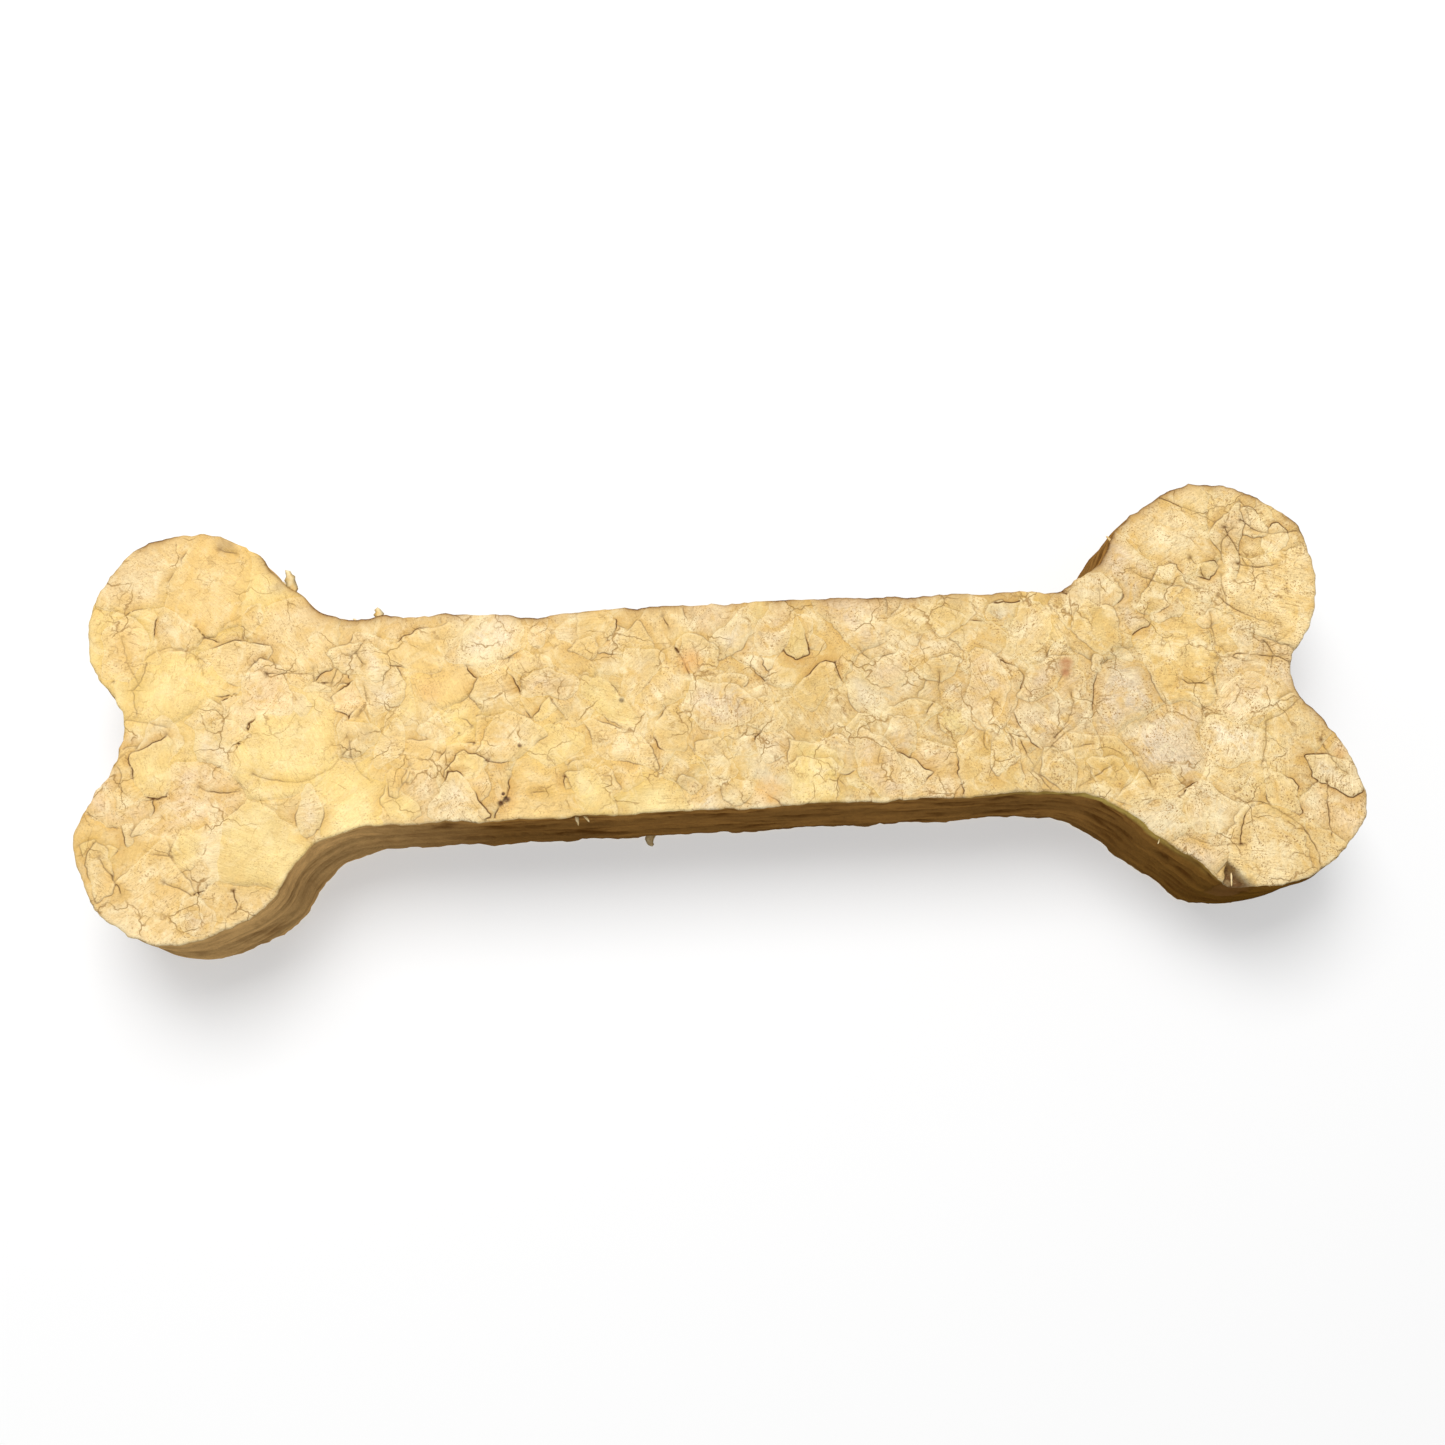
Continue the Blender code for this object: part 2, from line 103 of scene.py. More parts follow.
# Flakes: where, how large, how far raised, and of which hide
Flake = namedtuple("Flake", "x y radius lift kind", defaults=(None,))
CHIP_LIFT = -2.6
UPPER_FLAKES = (
    Flake(-71.4, -4.5, 8.4, 0.15, "yellow"),
    Flake(-84.3, 23.5, 5.8, 0.0, "golden"),
    Flake(-91.8, 6.4, 5.8, 0.1, "yellow"),
    Flake(-101.4, 15.5, 5.2, -0.1, "yellow"),
    Flake(-70.1, 14.0, 6.6, 0.1, "cream"),
    Flake(-97.6, 26.7, 5.6, 0.0, "cream"),
    Flake(-75.6, 23.1, 4.3, 0.1, "yellow"),
    Flake(-76.6, -21.0, 5.4, 0.0, "yellow"),
    Flake(-92.7, -26.5, 5.9, 0.1, "cream"),
    Flake(-87.1, -12.3, 5.4, -0.15, "pinkish"),
    Flake(-54.0, 13.2, 4.0, 0.1, "cream"),
    Flake(-56.1, 6.0, 4.3, 0.0, "cream"),
    Flake(-37.8, 0.7, 2.5, 0.15, "cream"),
    Flake(77.8, 4.4, 6.9, 0.1, "golden"),
    Flake(94.5, 15.4, 7.4, 0.15, "cream"),
    Flake(101.7, -23.7, 4.4, 0.1, "pinkish"),
    Flake(87.7, -28.9, 7.0, 0.2, "cream"),
    Flake(94.6, -12.2, 5.8, 0.0, "cream"),
    Flake(88.6, 0.9, 5.2, -0.1, "greyish"),
    Flake(80.3, 27.2, 7.5, 0.0, "cream"),
    Flake(75.2, -11.3, 7.1, -0.4, "greyish"),
    Flake(68.4, -1.3, 5.5, -0.3, "greyish"),
    Flake(55.6, -14.2, 4.7, 0.1, "cream"),
    Flake(76.4, -28.3, 3.2, 0.0, "pinkish"),
    Flake(81.4, -33.4, 1.9, CHIP_LIFT, "cream"),
)
LOWER_FLAKES = (Flake(0.0, 0.0, 9.0, 0.0, "cream"),)
RIM_MARGIN = 2.8
UPPER_SEED = 11
LOWER_SEED = 29
SMALLEST_FLAKE = 2.6
LARGEST_FLAKE = 6.4
FLAKE_TRIES = 3200
CROWDING = 0.86
UNEVEN_LIFT = 0.22
FIELD_HALF_LENGTH = 114.0
FIELD_HALF_WIDTH = 45.0

# Seams between flakes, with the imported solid's bends
SHORTEST_SEAM = 1.2
BROAD_BEND = 2.4
BROAD_BEND_LENGTH = 11.0
FINE_BEND = 0.9
FINE_BEND_LENGTH = 3.7
RAGGED_BEND = 0.36
RAGGED_BEND_LENGTH = 1.15
OTHER_NOISE = Vector((0.0, 0.0, 31.4))

# How dark seams are: some are dark, some middling, and the rest hardly show
STRENGTH_RANGES = ((0.65, 0.95), (0.35, 0.6), (0.25, 0.5), (0.08, 0.3))

# Level and slopes of the flakes on the upper face
UPPER_FACE_DROP = 0.45
STEEPEST_TILT = 0.045
TILT_CHANGE_LENGTH = 7.0

# The chip in the front rim: its inner end, which way it opens, how fast it widens, and how far
# its sides and its inner end slope
CHIP_TIP = (80.7, -30.9)
CHIP_WAY = (0.25, -0.968)
CHIP_WIDENING = 0.50
CHIP_SIDE = 0.5
CHIP_END = 1.0
CHIP_COLOUR = (0.170, 0.080, 0.022)

# Kinds of hide: colour in linear light, graininess from 0 (smooth, glassy) to 1 (dull, fibrous)
Hide = namedtuple("Hide", "colour grain")
HIDES = {
    "cream": Hide((0.820, 0.608, 0.275), 0.70),
    "yellow": Hide((0.870, 0.660, 0.250), 0.22),
    "golden": Hide((0.810, 0.560, 0.195), 0.35),
    "pinkish": Hide((0.820, 0.605, 0.315), 0.85),
    "greyish": Hide((0.790, 0.605, 0.340), 0.95),
    "pale": Hide((0.870, 0.710, 0.420), 0.65),
}
LEFT_KINDS = ("cream", "cream", "yellow", "yellow", "golden", "pale", "pinkish")
RIGHT_KINDS = ("cream", "cream", "greyish", "pale", "golden", "pinkish", "pale")
TONE_CHANGE = 0.05

# How softly the flakes' colours run into one another
SOFT_SHARE = 0.68
BLUR_LENGTH = 1.3
BLUR_CELL = 0.5
BLUR_CELLS = 9

# How the hide changes along the chew, and towards the borders of the flakes
MIDDLE_SHADE = 0.08
SHADE_X = 28
SHADE_REACH = 42
RIGHT_PALENESS = 0.08
PALE_FROM_X = 55
PALE_REACH = 50
LEFT_WARMTH = (0.0, 0.05, 0.10)
RIGHT_GRAIN = 0.9
BORDER_WARMTH = (0.05, 0.10, 0.30)
CENTRE_REACH = 2.4

# Thin flakes that lie over the others
Patch = namedtuple("Patch", "loop x y lift kind")
THIN_FLAKES = 180
THIN_FLAKE_SEED = 23
SMALLEST_THIN_FLAKE = 2.0
LARGEST_THIN_FLAKE = 6.0
SHOWN_WHOLE = 5.3
MOST_THIN_FLAKE_LIFT = 0.07
CORNER_CUT = 0.13
CORNER_COUNTS = (4, 7)
CORNER_SHIFT = 0.33
CORNER_REACHES = (0.65, 1.20)
STRETCHES = (1.0, 1.45)
SIZE_SCATTER = 0.3
THIN_FLAKE_CROWDING = 0.75

# Cracks and seams that stand out: from where, which way in degrees, how long, how dark, and how
# many degrees they turn in each millimetre
Crack = namedtuple("Crack", "x y heading length strength bend", defaults=(0.0,))
CRACKS = (
    Crack(-77.4, -8.5, -27, 19.4, 0.5, 4.9),
    Crack(-75.6, 8.7, -5, 7.5, 0.7, 1.5),
    Crack(-68.2, 9.0, -72, 2.3, 0.7),
    Crack(-67.5, 6.8, -5, 2.4, 0.8),
    Crack(-65.1, 6.7, 66, 2.8, 0.6),
    Crack(-95.7, 11.7, 42, 13.0, 0.55, -9.3),
    Crack(-95.1, 11.0, -100, 5.0, 0.8, -6.0),
    Crack(-97.1, 6.6, -88, 4.4, 0.7),
    Crack(-99.5, 16.1, -75, 9.8, 0.55, 1.0),
    Crack(-87.5, 17.3, -62, 5.0, 0.8, 9.0),
    Crack(-62.0, -3.2, -85, 8.5, 0.5, 8.0),
    Crack(-60.5, 0.5, 45, 5.8, 0.7, 12.0),
    Crack(-98.1, 1.6, -10, 7.4, 0.6, -4.0),
    Crack(-85.9, -10.1, -38, 6.6, 0.7, 8.0),
    Crack(-94.0, -20.1, -28, 6.0, 0.5, 8.0),
    Crack(-83.0, 17.3, 28, 6.2, 0.45, 4.0),
    Crack(-90.6, -25.4, -35, 5.1, 0.9),
    Crack(-84.0, -26.2, 221, 3.2, 0.9),
    Crack(-101.1, -20.8, -48, 7.1, 0.8),
    Crack(-79.9, -27.2, -74, 4.0, 0.8),
    Crack(-83.8, 30.9, -23, 2.6, 1.0),
    Crack(-61.8, 11.1, 40, 3.0, 0.9),
    Crack(-60.9, 11.4, -63, 2.2, 0.9),
    Crack(-59.2, 3.3, 240, 2.8, 0.8),
    Crack(-9.8, 15.5, -62, 2.4, 0.8),
    Crack(-7.8, 9.9, -56, 5.4, 1.0),
    Crack(34.9, -1.6, 236, 2.7, 1.0),
    Crack(36.4, 3.5, 258, 5.4, 0.6),
    Crack(78.7, 33.6, -20, 10.5, 0.7),
    Crack(89.5, 27.6, -78, 8.0, 0.8),
    Crack(83.0, 0.8, -74, 3.6, 0.9),
    Crack(91.0, -7.7, 15, 6.8, 0.7),
    Crack(50.4, -14.3, -55, 4.4, 0.7),
    Crack(69.1, -15.6, -70, 2.2, 0.7),
    Crack(90.8, 20.7, -25, 7.0, 0.8, 8.0),
    Crack(92.6, 28.9, -52, 12.5, 0.7, 4.0),
    Crack(82.5, 22.0, -45, 4.2, 0.9, -8.0),
    Crack(71.6, 20.3, -35, 13.5, 0.6, 3.0),
    Crack(87.6, 18.9, -108, 4.2, 0.7, 4.0),
    Crack(86.4, 15.0, -65, 11.5, 0.7, 2.5),
    Crack(84.6, 12.2, -92, 6.0, 0.6),
    Crack(84.6, 6.6, -55, 7.5, 0.6, 10.0),
    Crack(83.9, 3.8, 10, 13.3, 0.7, -2.0),
    Crack(54.7, -8.6, 35, 9.5, 0.7, 7.0),
    Crack(54.0, -11.2, 2, 7.3, 0.6, 1.5),
    Crack(57.5, -17.4, 28, 7.4, 0.6, 2.0),
    Crack(90.8, -8.2, -90, 7.7, 0.8),
    Crack(83.4, -28.5, 92, 7.5, 0.8, -5.0),
    Crack(85.2, -21.6, 15, 18.5, 0.65, -5.3),
    Crack(74.6, -26.1, -45, 7.6, 0.6, 5.0),
    Crack(99.6, -18.7, -92, 9.6, 0.75, 0.5),
    Crack(100.1, -11.4, -88, 7.2, 0.7, 6.0),
    Crack(48.6, -8.4, -70, 5.4, 0.7, 1.0),
    Crack(50.6, -13.5, 45, 12.0, 0.5, -4.5),
)
RANDOM_CRACKS = 34
RANDOM_CRACK_X = 104.0
RANDOM_CRACK_Y = 34.0
CRACK_LENGTHS = (2.0, 6.0)
CRACK_STRENGTHS = (0.25, 0.7)
STEEPEST_BEND = 14.0
CRACK_WANDER = 0.05
CRACK_RAGS = 0.30
CRACK_SEED = 5

# Spots of another colour, in linear light
Stain = namedtuple("Stain", "x y radius colour weight")
STAINS = (
    Stain(-36.6, -14.7, 0.85, (0.09, 0.032, 0.008), 1.0),
    Stain(-37.6, -15.3, 0.75, (0.11, 0.040, 0.010), 1.0),
    Stain(-37.1, -13.8, 0.45, (0.09, 0.032, 0.008), 1.0),
    Stain(-36.9, -14.9, 2.40, (0.70, 0.400, 0.120), 0.5),
    Stain(-17.3, 1.2, 0.60, (0.06, 0.025, 0.010), 1.0),
    Stain(-34.3, -5.8, 0.45, (0.09, 0.035, 0.012), 1.0),
    Stain(-44.2, -3.1, 0.30, (0.16, 0.080, 0.030), 0.8),
    Stain(-48.8, 4.3, 2.60, (0.70, 0.400, 0.130), 0.5),
    Stain(-5.6, 7.5, 2.60, (0.78, 0.400, 0.130), 0.6),
    Stain(6.0, -15.4, 3.00, (0.76, 0.420, 0.130), 0.5),
    Stain(58.2, 3.9, 1.60, (0.50, 0.240, 0.100), 1.0),
    Stain(58.0, 2.6, 1.30, (0.47, 0.220, 0.090), 1.0),
    # These two brown spots are partly painted shade: about a crack at the left lobe's back rim, and at the
    # foot of a sliver near the back rim
    Stain(-82.9, 31.9, 2.40, (0.42, 0.270, 0.110), 0.7),
    Stain(-74.0, 23.5, 1.40, (0.40, 0.280, 0.140), 0.5),
    Stain(103.0, -14.0, 1.60, (0.66, 0.360, 0.110), 0.5),
)
# How sharp the spots' borders are
STAIN_SHARPNESS = 1.6

# Thin slivers and fibres that stand out from the rim: heading and rise in degrees
Sliver = namedtuple("Sliver", "x y z heading rise length width")
SLIVERS = (
    Sliver(-71.2, 22.6, 21.1, 112, 18, 4.3, 1.7),
    Sliver(-72.4, 23.8, 21.0, 150, 8, 3.0, 1.0),
    Sliver(-57.2, 16.2, 21.0, 95, 12, 3.2, 1.7),
    Sliver(-59.5, 16.4, 20.8, 150, 5, 2.6, 0.7),
    Sliver(-25.6, -17.2, 20.9, -80, -30, 2.5, 0.6),
    Sliver(-24.6, -17.2, 20.7, -55, -8, 2.2, 0.5),
    Sliver(-13.6, -17.2, 1.0, -85, -8, 2.9, 2.0),
    Sliver(81.5, -32.8, 20.4, -100, 10, 2.6, 0.35),
    Sliver(70.8, -25.8, 20.6, -120, 5, 2.1, 0.35),
    Sliver(70.0, 25.4, 20.9, 140, 10, 2.4, 0.7),
)
SLIVER_SECTIONS = 8
SLIVER_THICKNESS = 0.30
SLIVER_BEND = 0.25
SLIVER_RAGS = 0.7
SLIVER_BEND_SCALE = 0.9
SLIVER_RAG_SCALE = 2.3
SLIVER_BLUNTNESS = 0.1
SLIVER_DULLNESS = 0.55
SLIVER_NOISE = (900.0, 3.0, 0.6)
SLIVER_COLOUR = (0.84, 0.68, 0.38, 1.0)

# Resolution of the dense mesh
RIM_STEP = 0.70
LINE_CLEARANCE = 0.8
GRID_CLEARANCE = 0.75
RIM_CLEARANCE = 0.8
MERGE_GAP = 0.0001
RIM_BEVEL = 0.42
GRID_STEP = 0.64
LOWER_GRID_STEP = 1.00
LINE_STEP = 0.45
LINE_SIDE = 0.21
CENTRE_GAP = 0.18
SIDE_GAP = 0.16
SAMPLE_STEP = 0.12
SMALL_STAIN = 1.0
DOT_ROWS = 3
WALL_ROWS = 36

# How lines fade and return along their way, and the least that is left of them
FADING = 0.50
FADING_TO_LEFT = 0.0024
LEAST_CHOSEN = 0.6
LEAST_OTHER = 0.08
FADED_DEPTH = 0.4

# Relief of the wide faces
SEAM_DEPTH = 0.24
FAINTEST_DEPTH = 0.45
THIN_FLAKE_DEPTH = 0.5
CRACK_DEPTH = 0.18
HIDDEN_DEPTH = 0.08
# Painted shade beside seams and cracks, most on the lower flake's side like a cast shadow, and along the
# back rim; painted highlights on raised flakes' edges and the front rim
SEAM_SHADE_REACH = 1.60
RAISED_EDGE_HIGHLIGHT_REACH = 0.45
BACK_SHADE_REACH = 1.5
RIM_SHADE_AND_HIGHLIGHT_REACH = 0.5
SIDE_SHARE = 0.3
BACK_RIM_PAINTED_SHADE = 0.75
FRONT_RIM_HIGHLIGHT = 1.1
RAISED_SIDE_SHADE_SHARE = 0.25
CRACK_SHADE_SHARE = 0.6
RIM_DROP = 0.14
HIDDEN_REACH = 0.6
LOWER_RIM_RISE = 0.25
EDGE_FALL = 0.04
EDGE_FALL_REACH = 0.7
SMOOTHING_ROUNDS = 4
DEEPEST_SMOOTHED = -0.5

# Ripples: how high, how long, and from which layer of the noise
Ripple = namedtuple("Ripple", "size length layer")
RIM_RAGS = (Ripple(0.38, 7.0, 7.0), Ripple(0.32, 1.9, 1.9), Ripple(0.18, 0.9, 0.9))
DENTS = (Ripple(0.16, 13.0, 13.0), Ripple(0.05, 4.2, 4.2), Ripple(0.02, 1.5, 1.5))
RIM_DROPS = (Ripple(0.10, 2.3, 8.1),)
LOWER_DENTS = (Ripple(0.06, 5.0, 2.2),)
LAYER_WAVES = (Ripple(1.2, 5.0, 4.4),)
LAYER_RIPPLES = (Ripple(0.35, 1.6, 9.2),)
WALL_DENTS = (Ripple(0.16, 4.0, 1.1), Ripple(0.06, 1.2, 5.1))
LINE_FADING = (Ripple(1.9, 3.4, 3.7),)

# Smooth patches in which a feature is strong or weak
Patches = namedtuple("Patches", "middle change length layer")
WARMTH_PATCHES = Patches(0.7, 0.9, 8.0, 5.5)
RIM_PATCHES = Patches(0.7, 1.2, 6.0, 12.3)
LAYER_PATCHES = Patches(0.55, 1.2, 6.0, 6.6)
LEAST_PATCH = 0.1

# The wall's pressed layers
Leaf = namedtuple("Leaf", "along height stand tone")
WALL_SEED = 17
LEAF_LENGTH = 19.0
LEAF_HEIGHT = 2.2
LEAF_SHIFT = 0.4
LEAF_RISE = 0.35
LEAF_STANDS = (-0.20, 0.22)
LEAF_TONES = (0.80, 1.20)
LEAF_BORDER = 0.6
LAYER_GROOVE = 0.28
LAYER_STRETCH = (0.4, 1.0)
WALL_TAPER = 6
WALL_STANDS = ((0.0, 0.0), (0.22, 0.35), (0.48, 0.05), (0.74, 0.25), (1.0, 0.0))
# Wall colours, partly painted light and shade: the brown is partly painted shade, the front right darker
# with painted shade, the left end partly painted sheen
WALL_COLOUR = (0.272, 0.135, 0.034)
LEFT_WALL_PALE_AND_SHEEN_COLOUR = (0.560, 0.342, 0.132)
RIGHT_WALL_DARK_AND_SHADED_COLOUR = (0.147, 0.069, 0.010)
STRIP_PAINTED_LIGHT_COLOUR = (0.620, 0.450, 0.110)
STRIP_X = 62
STRIP_REACH = 13
TOP_PAINTED_LIGHT = 0.4

# Where a share starts to rise on the wall, and how far on it is whole
LEFT_END = (38, 27)
RIGHT_END = (60, 25)
SHADED_FRONT_SIDE = (0, 15)
WALL_TOP = (0.62, 0.34)
STRIP_BOTTOM = (19.3, 0.8)

# How dark the wall's layers are
WALL_SEAM_SHADE = 0.80
LEFT_SEAM_PALENESS = 0.35
WALL_HALO = 0.6
WALL_GRAIN = 0.5

# Colours that all the hide shares, in linear light
SEAM_COLOUR = (0.120, 0.048, 0.009, 1.0)
# The halo is the brown of the painted shade beside seams; half of it also colours the hair lines and fibres
HALO_COLOUR = (0.570, 0.315, 0.080, 1.0)
CLOUD_COLOUR = (0.710, 0.445, 0.125, 1.0)
SPECK_COLOUR = (0.380, 0.215, 0.075, 1.0)
# The pale colour serves the hide's chalky patches and the painted highlights on raised flakes' edges and
# the front rim
PALE_COLOUR = (0.950, 0.805, 0.490, 1.0)
WALL_SHADE_COLOUR = (0.130, 0.058, 0.016, 1.0)
FACE_SHINE = 0.30
WALL_SHINE = 0.0

# Noise in the hide: scale, detail, roughness and distortion
BROAD_NOISE = (110.0, 3.0, 0.55, 0.4)
MEDIUM_NOISE = (480.0, 4.0, 0.65, 0.8)
FINE_NOISE = (2300.0, 4.0, 0.75)
STREAK_NOISE = (1.0, 5.0, 0.70, 1.2)
FIBRE_NOISE = (1.0, 3.0, 0.6, 0.7)
CLOUD_NOISE = (190.0, 5.0, 0.65, 1.6)
CHALK_NOISE = (300.0, 4.0, 0.65, 0.8)
SPECK_NOISE = (3300.0, 2.0, 0.6)
SPECK_PATCH_NOISE = (230.0, 3.0, 0.6)
STREAK_STRETCH = (0.35, 2.6, 1.0)
FIBRE_STRETCH = (0.45, 4.5, 1.0)

# Sockets of a mix node that hold colours
FIRST_COLOUR = 6
SECOND_COLOUR = 7
MIXED_COLOUR = 2

# Hair cracks: scale, width, bend and the noise from which they show
WIDE_HAIRS = (165.0, 0.026, 0.0046, 0.47)
SMALL_HAIRS = (430.0, 0.055, 0.0022, 0.52)
BUMP_STRENGTH = 0.7
BUMP_DISTANCE = 0.00014

# Baking map: the faces above one another, then the wall in three strips above them
MAP_WIDTH = 221.0
UPPER_FACE_ROW = 37.0
LOWER_FACE_ROW = 110.7
FIRST_STRIP_ROW = 147.5
STRIP_ROW_STEP = 23.6
STRIP_MARGIN = 10.0
WALL_STRIPS = 3

# Camera, lights and floor
CAMERA_PLACE = (-0.013836, -0.062657, 0.243100)
CAMERA_TURN = (15.049, -2.354, -3.450)
CAMERA_LENS = 34.452
CAMERA_SENSOR = 36.0
NEAREST_SEEN = 0.01
FARTHEST_SEEN = 20.0
KEY_PLACE = (-0.10, 0.36, 0.72)
KEY_SIZE = 0.50
KEY_POWER = 7.3
SURROUNDING_LIGHT = 0.35
WHITE = (1.0, 1.0, 1.0, 1.0)
FLOOR_COLOUR = (0.46, 0.46, 0.46, 1.0)
FLOOR_GLOW = 0.47
FLOOR_DULLNESS = 0.9
FLOOR_HALF_WIDTH = 2.0
FLOOR_HEIGHT = -0.00005


def shaft_fillet(lobe, edge_y):
    """Centre of the arc that runs from the shaft's straight edge into a lobe."""
    centre_y = edge_y + math.copysign(lobe.fillet, edge_y)
    reach = math.sqrt((lobe.radius + lobe.fillet) ** 2 - (centre_y - lobe.y) ** 2)
    return Vector((lobe.x - math.copysign(reach, lobe.x), centre_y))


def notch_fillet(lobe, next_lobe, radius):
    """Centre of the arc in the notch between two lobes that follow counterclockwise."""
    here = Vector((lobe.x, lobe.y))
    step = Vector((next_lobe.x, next_lobe.y)) - here
    to_here = lobe.radius + radius
    to_next = next_lobe.radius + radius
    along = (to_here**2 - to_next**2 + step.length_squared) / (2 * step.length)
    outward = Vector((step.y, -step.x)).normalized()
    return here + step.normalized() * along + outward * math.sqrt(to_here**2 - along**2)


def meeting_point(lobe, arc_centre):
    """Where a lobe's circle touches the arc with the given centre."""
    centre = Vector((lobe.x, lobe.y))
    return centre + (arc_centre - centre).normalized() * lobe.radius


def arc(centre, start, end, turn):
    """Points on an arc from start to end, turning left (+1) or right (-1)."""
    radius = (start - centre).length
    first = math.atan2(start.y - centre.y, start.x - centre.x)
    last = math.atan2(end.y - centre.y, end.x - centre.x)
    sweep = (last - first) * turn % (2 * math.pi)
    count = math.ceil(radius * sweep / ARC_STEP)
    angles = [first + turn * sweep * k / count for k in range(count + 1)]
    return [centre + radius * Vector((math.cos(a), math.sin(a))) for a in angles]


def lobe_arc(lobe, arc_before, arc_after):
    """The rounded edge of a lobe between the arcs that it meets."""
    centre = Vector((lobe.x, lobe.y))
    return arc(centre, meeting_point(lobe, arc_before), meeting_point(lobe, arc_after), 1)


def long_side(first, last, edge_y, first_notch, last_notch):
    """A lobe, the shaft's edge and the next lobe, between the arcs of the two notches."""
    first_fillet = shaft_fillet(first, edge_y)
    last_fillet = shaft_fillet(last, edge_y)
    points = lobe_arc(first, first_notch, first_fillet)
    points += arc(first_fillet, points[-1], Vector((first_fillet.x, edge_y)), -1)
    points += arc(last_fillet, Vector((last_fillet.x, edge_y)), meeting_point(last, last_fillet), -1)
    return points + lobe_arc(last, last_fillet, last_notch)


def drawn_outline():
    """The bone as arcs and straight edges, counterclockwise from the notch at the right end."""
    right = notch_fillet(FRONT_RIGHT, BACK_RIGHT, RIGHT_NOTCH_RADIUS)
    left = notch_fillet(BACK_LEFT, FRONT_LEFT, LEFT_NOTCH_RADIUS)
    back = long_side(BACK_RIGHT, BACK_LEFT, SHAFT_BACK_Y, right, left)
    front = long_side(FRONT_LEFT, FRONT_RIGHT, SHAFT_FRONT_Y, left, right)
    back += arc(left, back[-1], meeting_point(FRONT_LEFT, left), -1)
    front += arc(right, front[-1], meeting_point(BACK_RIGHT, right), -1)
    return back + front


def evenly_spaced(points, step):
    """Points at equal distances, close to the step, along a closed line."""
    ends = points[1:] + points[:1]
    lengths = [(end - start).length for start, end in zip(points, ends)]
    count = round(sum(lengths) / step)
    spacing = sum(lengths) / count
    walked = 0.0
    placed = []
    for start, end, length in zip(points, ends, lengths):
        while len(placed) < count and spacing * len(placed) < walked + length:
            placed.append(start.lerp(end, (spacing * len(placed) - walked) / length))
        walked += length
    return placed


def outward_directions(points):
    """The outward direction at each point of a counterclockwise line."""
    sides = zip(points[-1:] + points[:-1], points[1:] + points[:1])
    return [Vector((after.y - before.y, before.x - after.x)).normalized() for before, after in sides]


def swelling(point, swells):
    """How far the real outline stands out from the drawn one near a point."""
    total = 0.0
    for swell in swells:
        away = math.hypot(point.x - swell.x, point.y - swell.y) / swell.reach
        total += swell.push * math.exp(-(away**2))
    return total


def bone_outline(step, swells):
    """The chew's uneven outline, and the outward direction at each of its points."""
    drawn = evenly_spaced(drawn_outline(), step)
    outward = outward_directions(drawn)
    return [point + out * swelling(point, swells) for point, out in zip(drawn, outward)], outward


def is_inside(x, y, outline):
    """Whether a place is inside a closed line: it crosses the line an odd number of times going right."""
    crossings = 0
    for start, end in zip(outline, outline[1:] + outline[:1]):
        if (start.y > y) != (end.y > y):
            crossings += x < start.x + (end.x - start.x) * (y - start.y) / (end.y - start.y)
    return crossings % 2 == 1


def scatter_flakes(seed, chosen, field):
    """The chosen flakes, then random ones from large to small wherever the field has room."""
    rng = random.Random(seed)
    flakes = list(chosen)
    for attempt in range(FLAKE_TRIES):
        radius = LARGEST_FLAKE + (SMALLEST_FLAKE - LARGEST_FLAKE) * attempt / FLAKE_TRIES
        x = rng.uniform(-FIELD_HALF_LENGTH, FIELD_HALF_LENGTH)
        y = rng.uniform(-FIELD_HALF_WIDTH, FIELD_HALF_WIDTH)
        lift = rng.uniform(-UNEVEN_LIFT, UNEVEN_LIFT)
        roomy = all(math.hypot(x - f.x, y - f.y) > CROWDING * (radius + f.radius) for f in flakes)
        if roomy and is_inside(x, y, field):
            flakes.append(Flake(x, y, radius, lift))
    return flakes


def clipped(polygon, direction, limit):
    """The part of a convex polygon whose points reach no further than the limit in a direction."""
    kept = []
    for start, end in zip(polygon, polygon[1:] + polygon[:1]):
        start_over = start.dot(direction) - limit
        end_over = end.dot(direction) - limit
        if start_over <= 0:
            kept.append(start)
        if start_over * end_over < 0:
            kept.append(start.lerp(end, start_over / (start_over - end_over)))
    return kept


def straight_cell(flake, flakes):
    """The convex ground that a flake holds: the larger it is, the more it takes from its neighbours."""
    here = Vector((flake.x, flake.y))
    corners = ((-1, -1), (1, -1), (1, 1), (-1, 1))
    cell = [Vector((x * FIELD_HALF_LENGTH, y * FIELD_HALF_WIDTH)) for x, y in corners]
    for other in flakes:
        if other is not flake:
            towards = Vector((other.x, other.y)) - here
            share = (towards.length_squared + flake.radius**2 - other.radius**2) / 2
            cell = clipped(cell, towards, here.dot(towards) + share)
    return cell


def smooth_pair(point, length):
    """Two values from -1 to 1 that change smoothly over the ground, within about the given length."""
    place = Vector((point.x, point.y, 0.0)) / length
    return Vector((noise.noise(place), noise.noise(place + OTHER_NOISE)))


def wandered(point):
    """A seam's point moved a little, by one rule for all the flakes that meet there."""
    broad = BROAD_BEND * smooth_pair(point, BROAD_BEND_LENGTH)
    fine = FINE_BEND * smooth_pair(point, FINE_BEND_LENGTH)
    return point + broad + fine + RAGGED_BEND * smooth_pair(point, RAGGED_BEND_LENGTH)


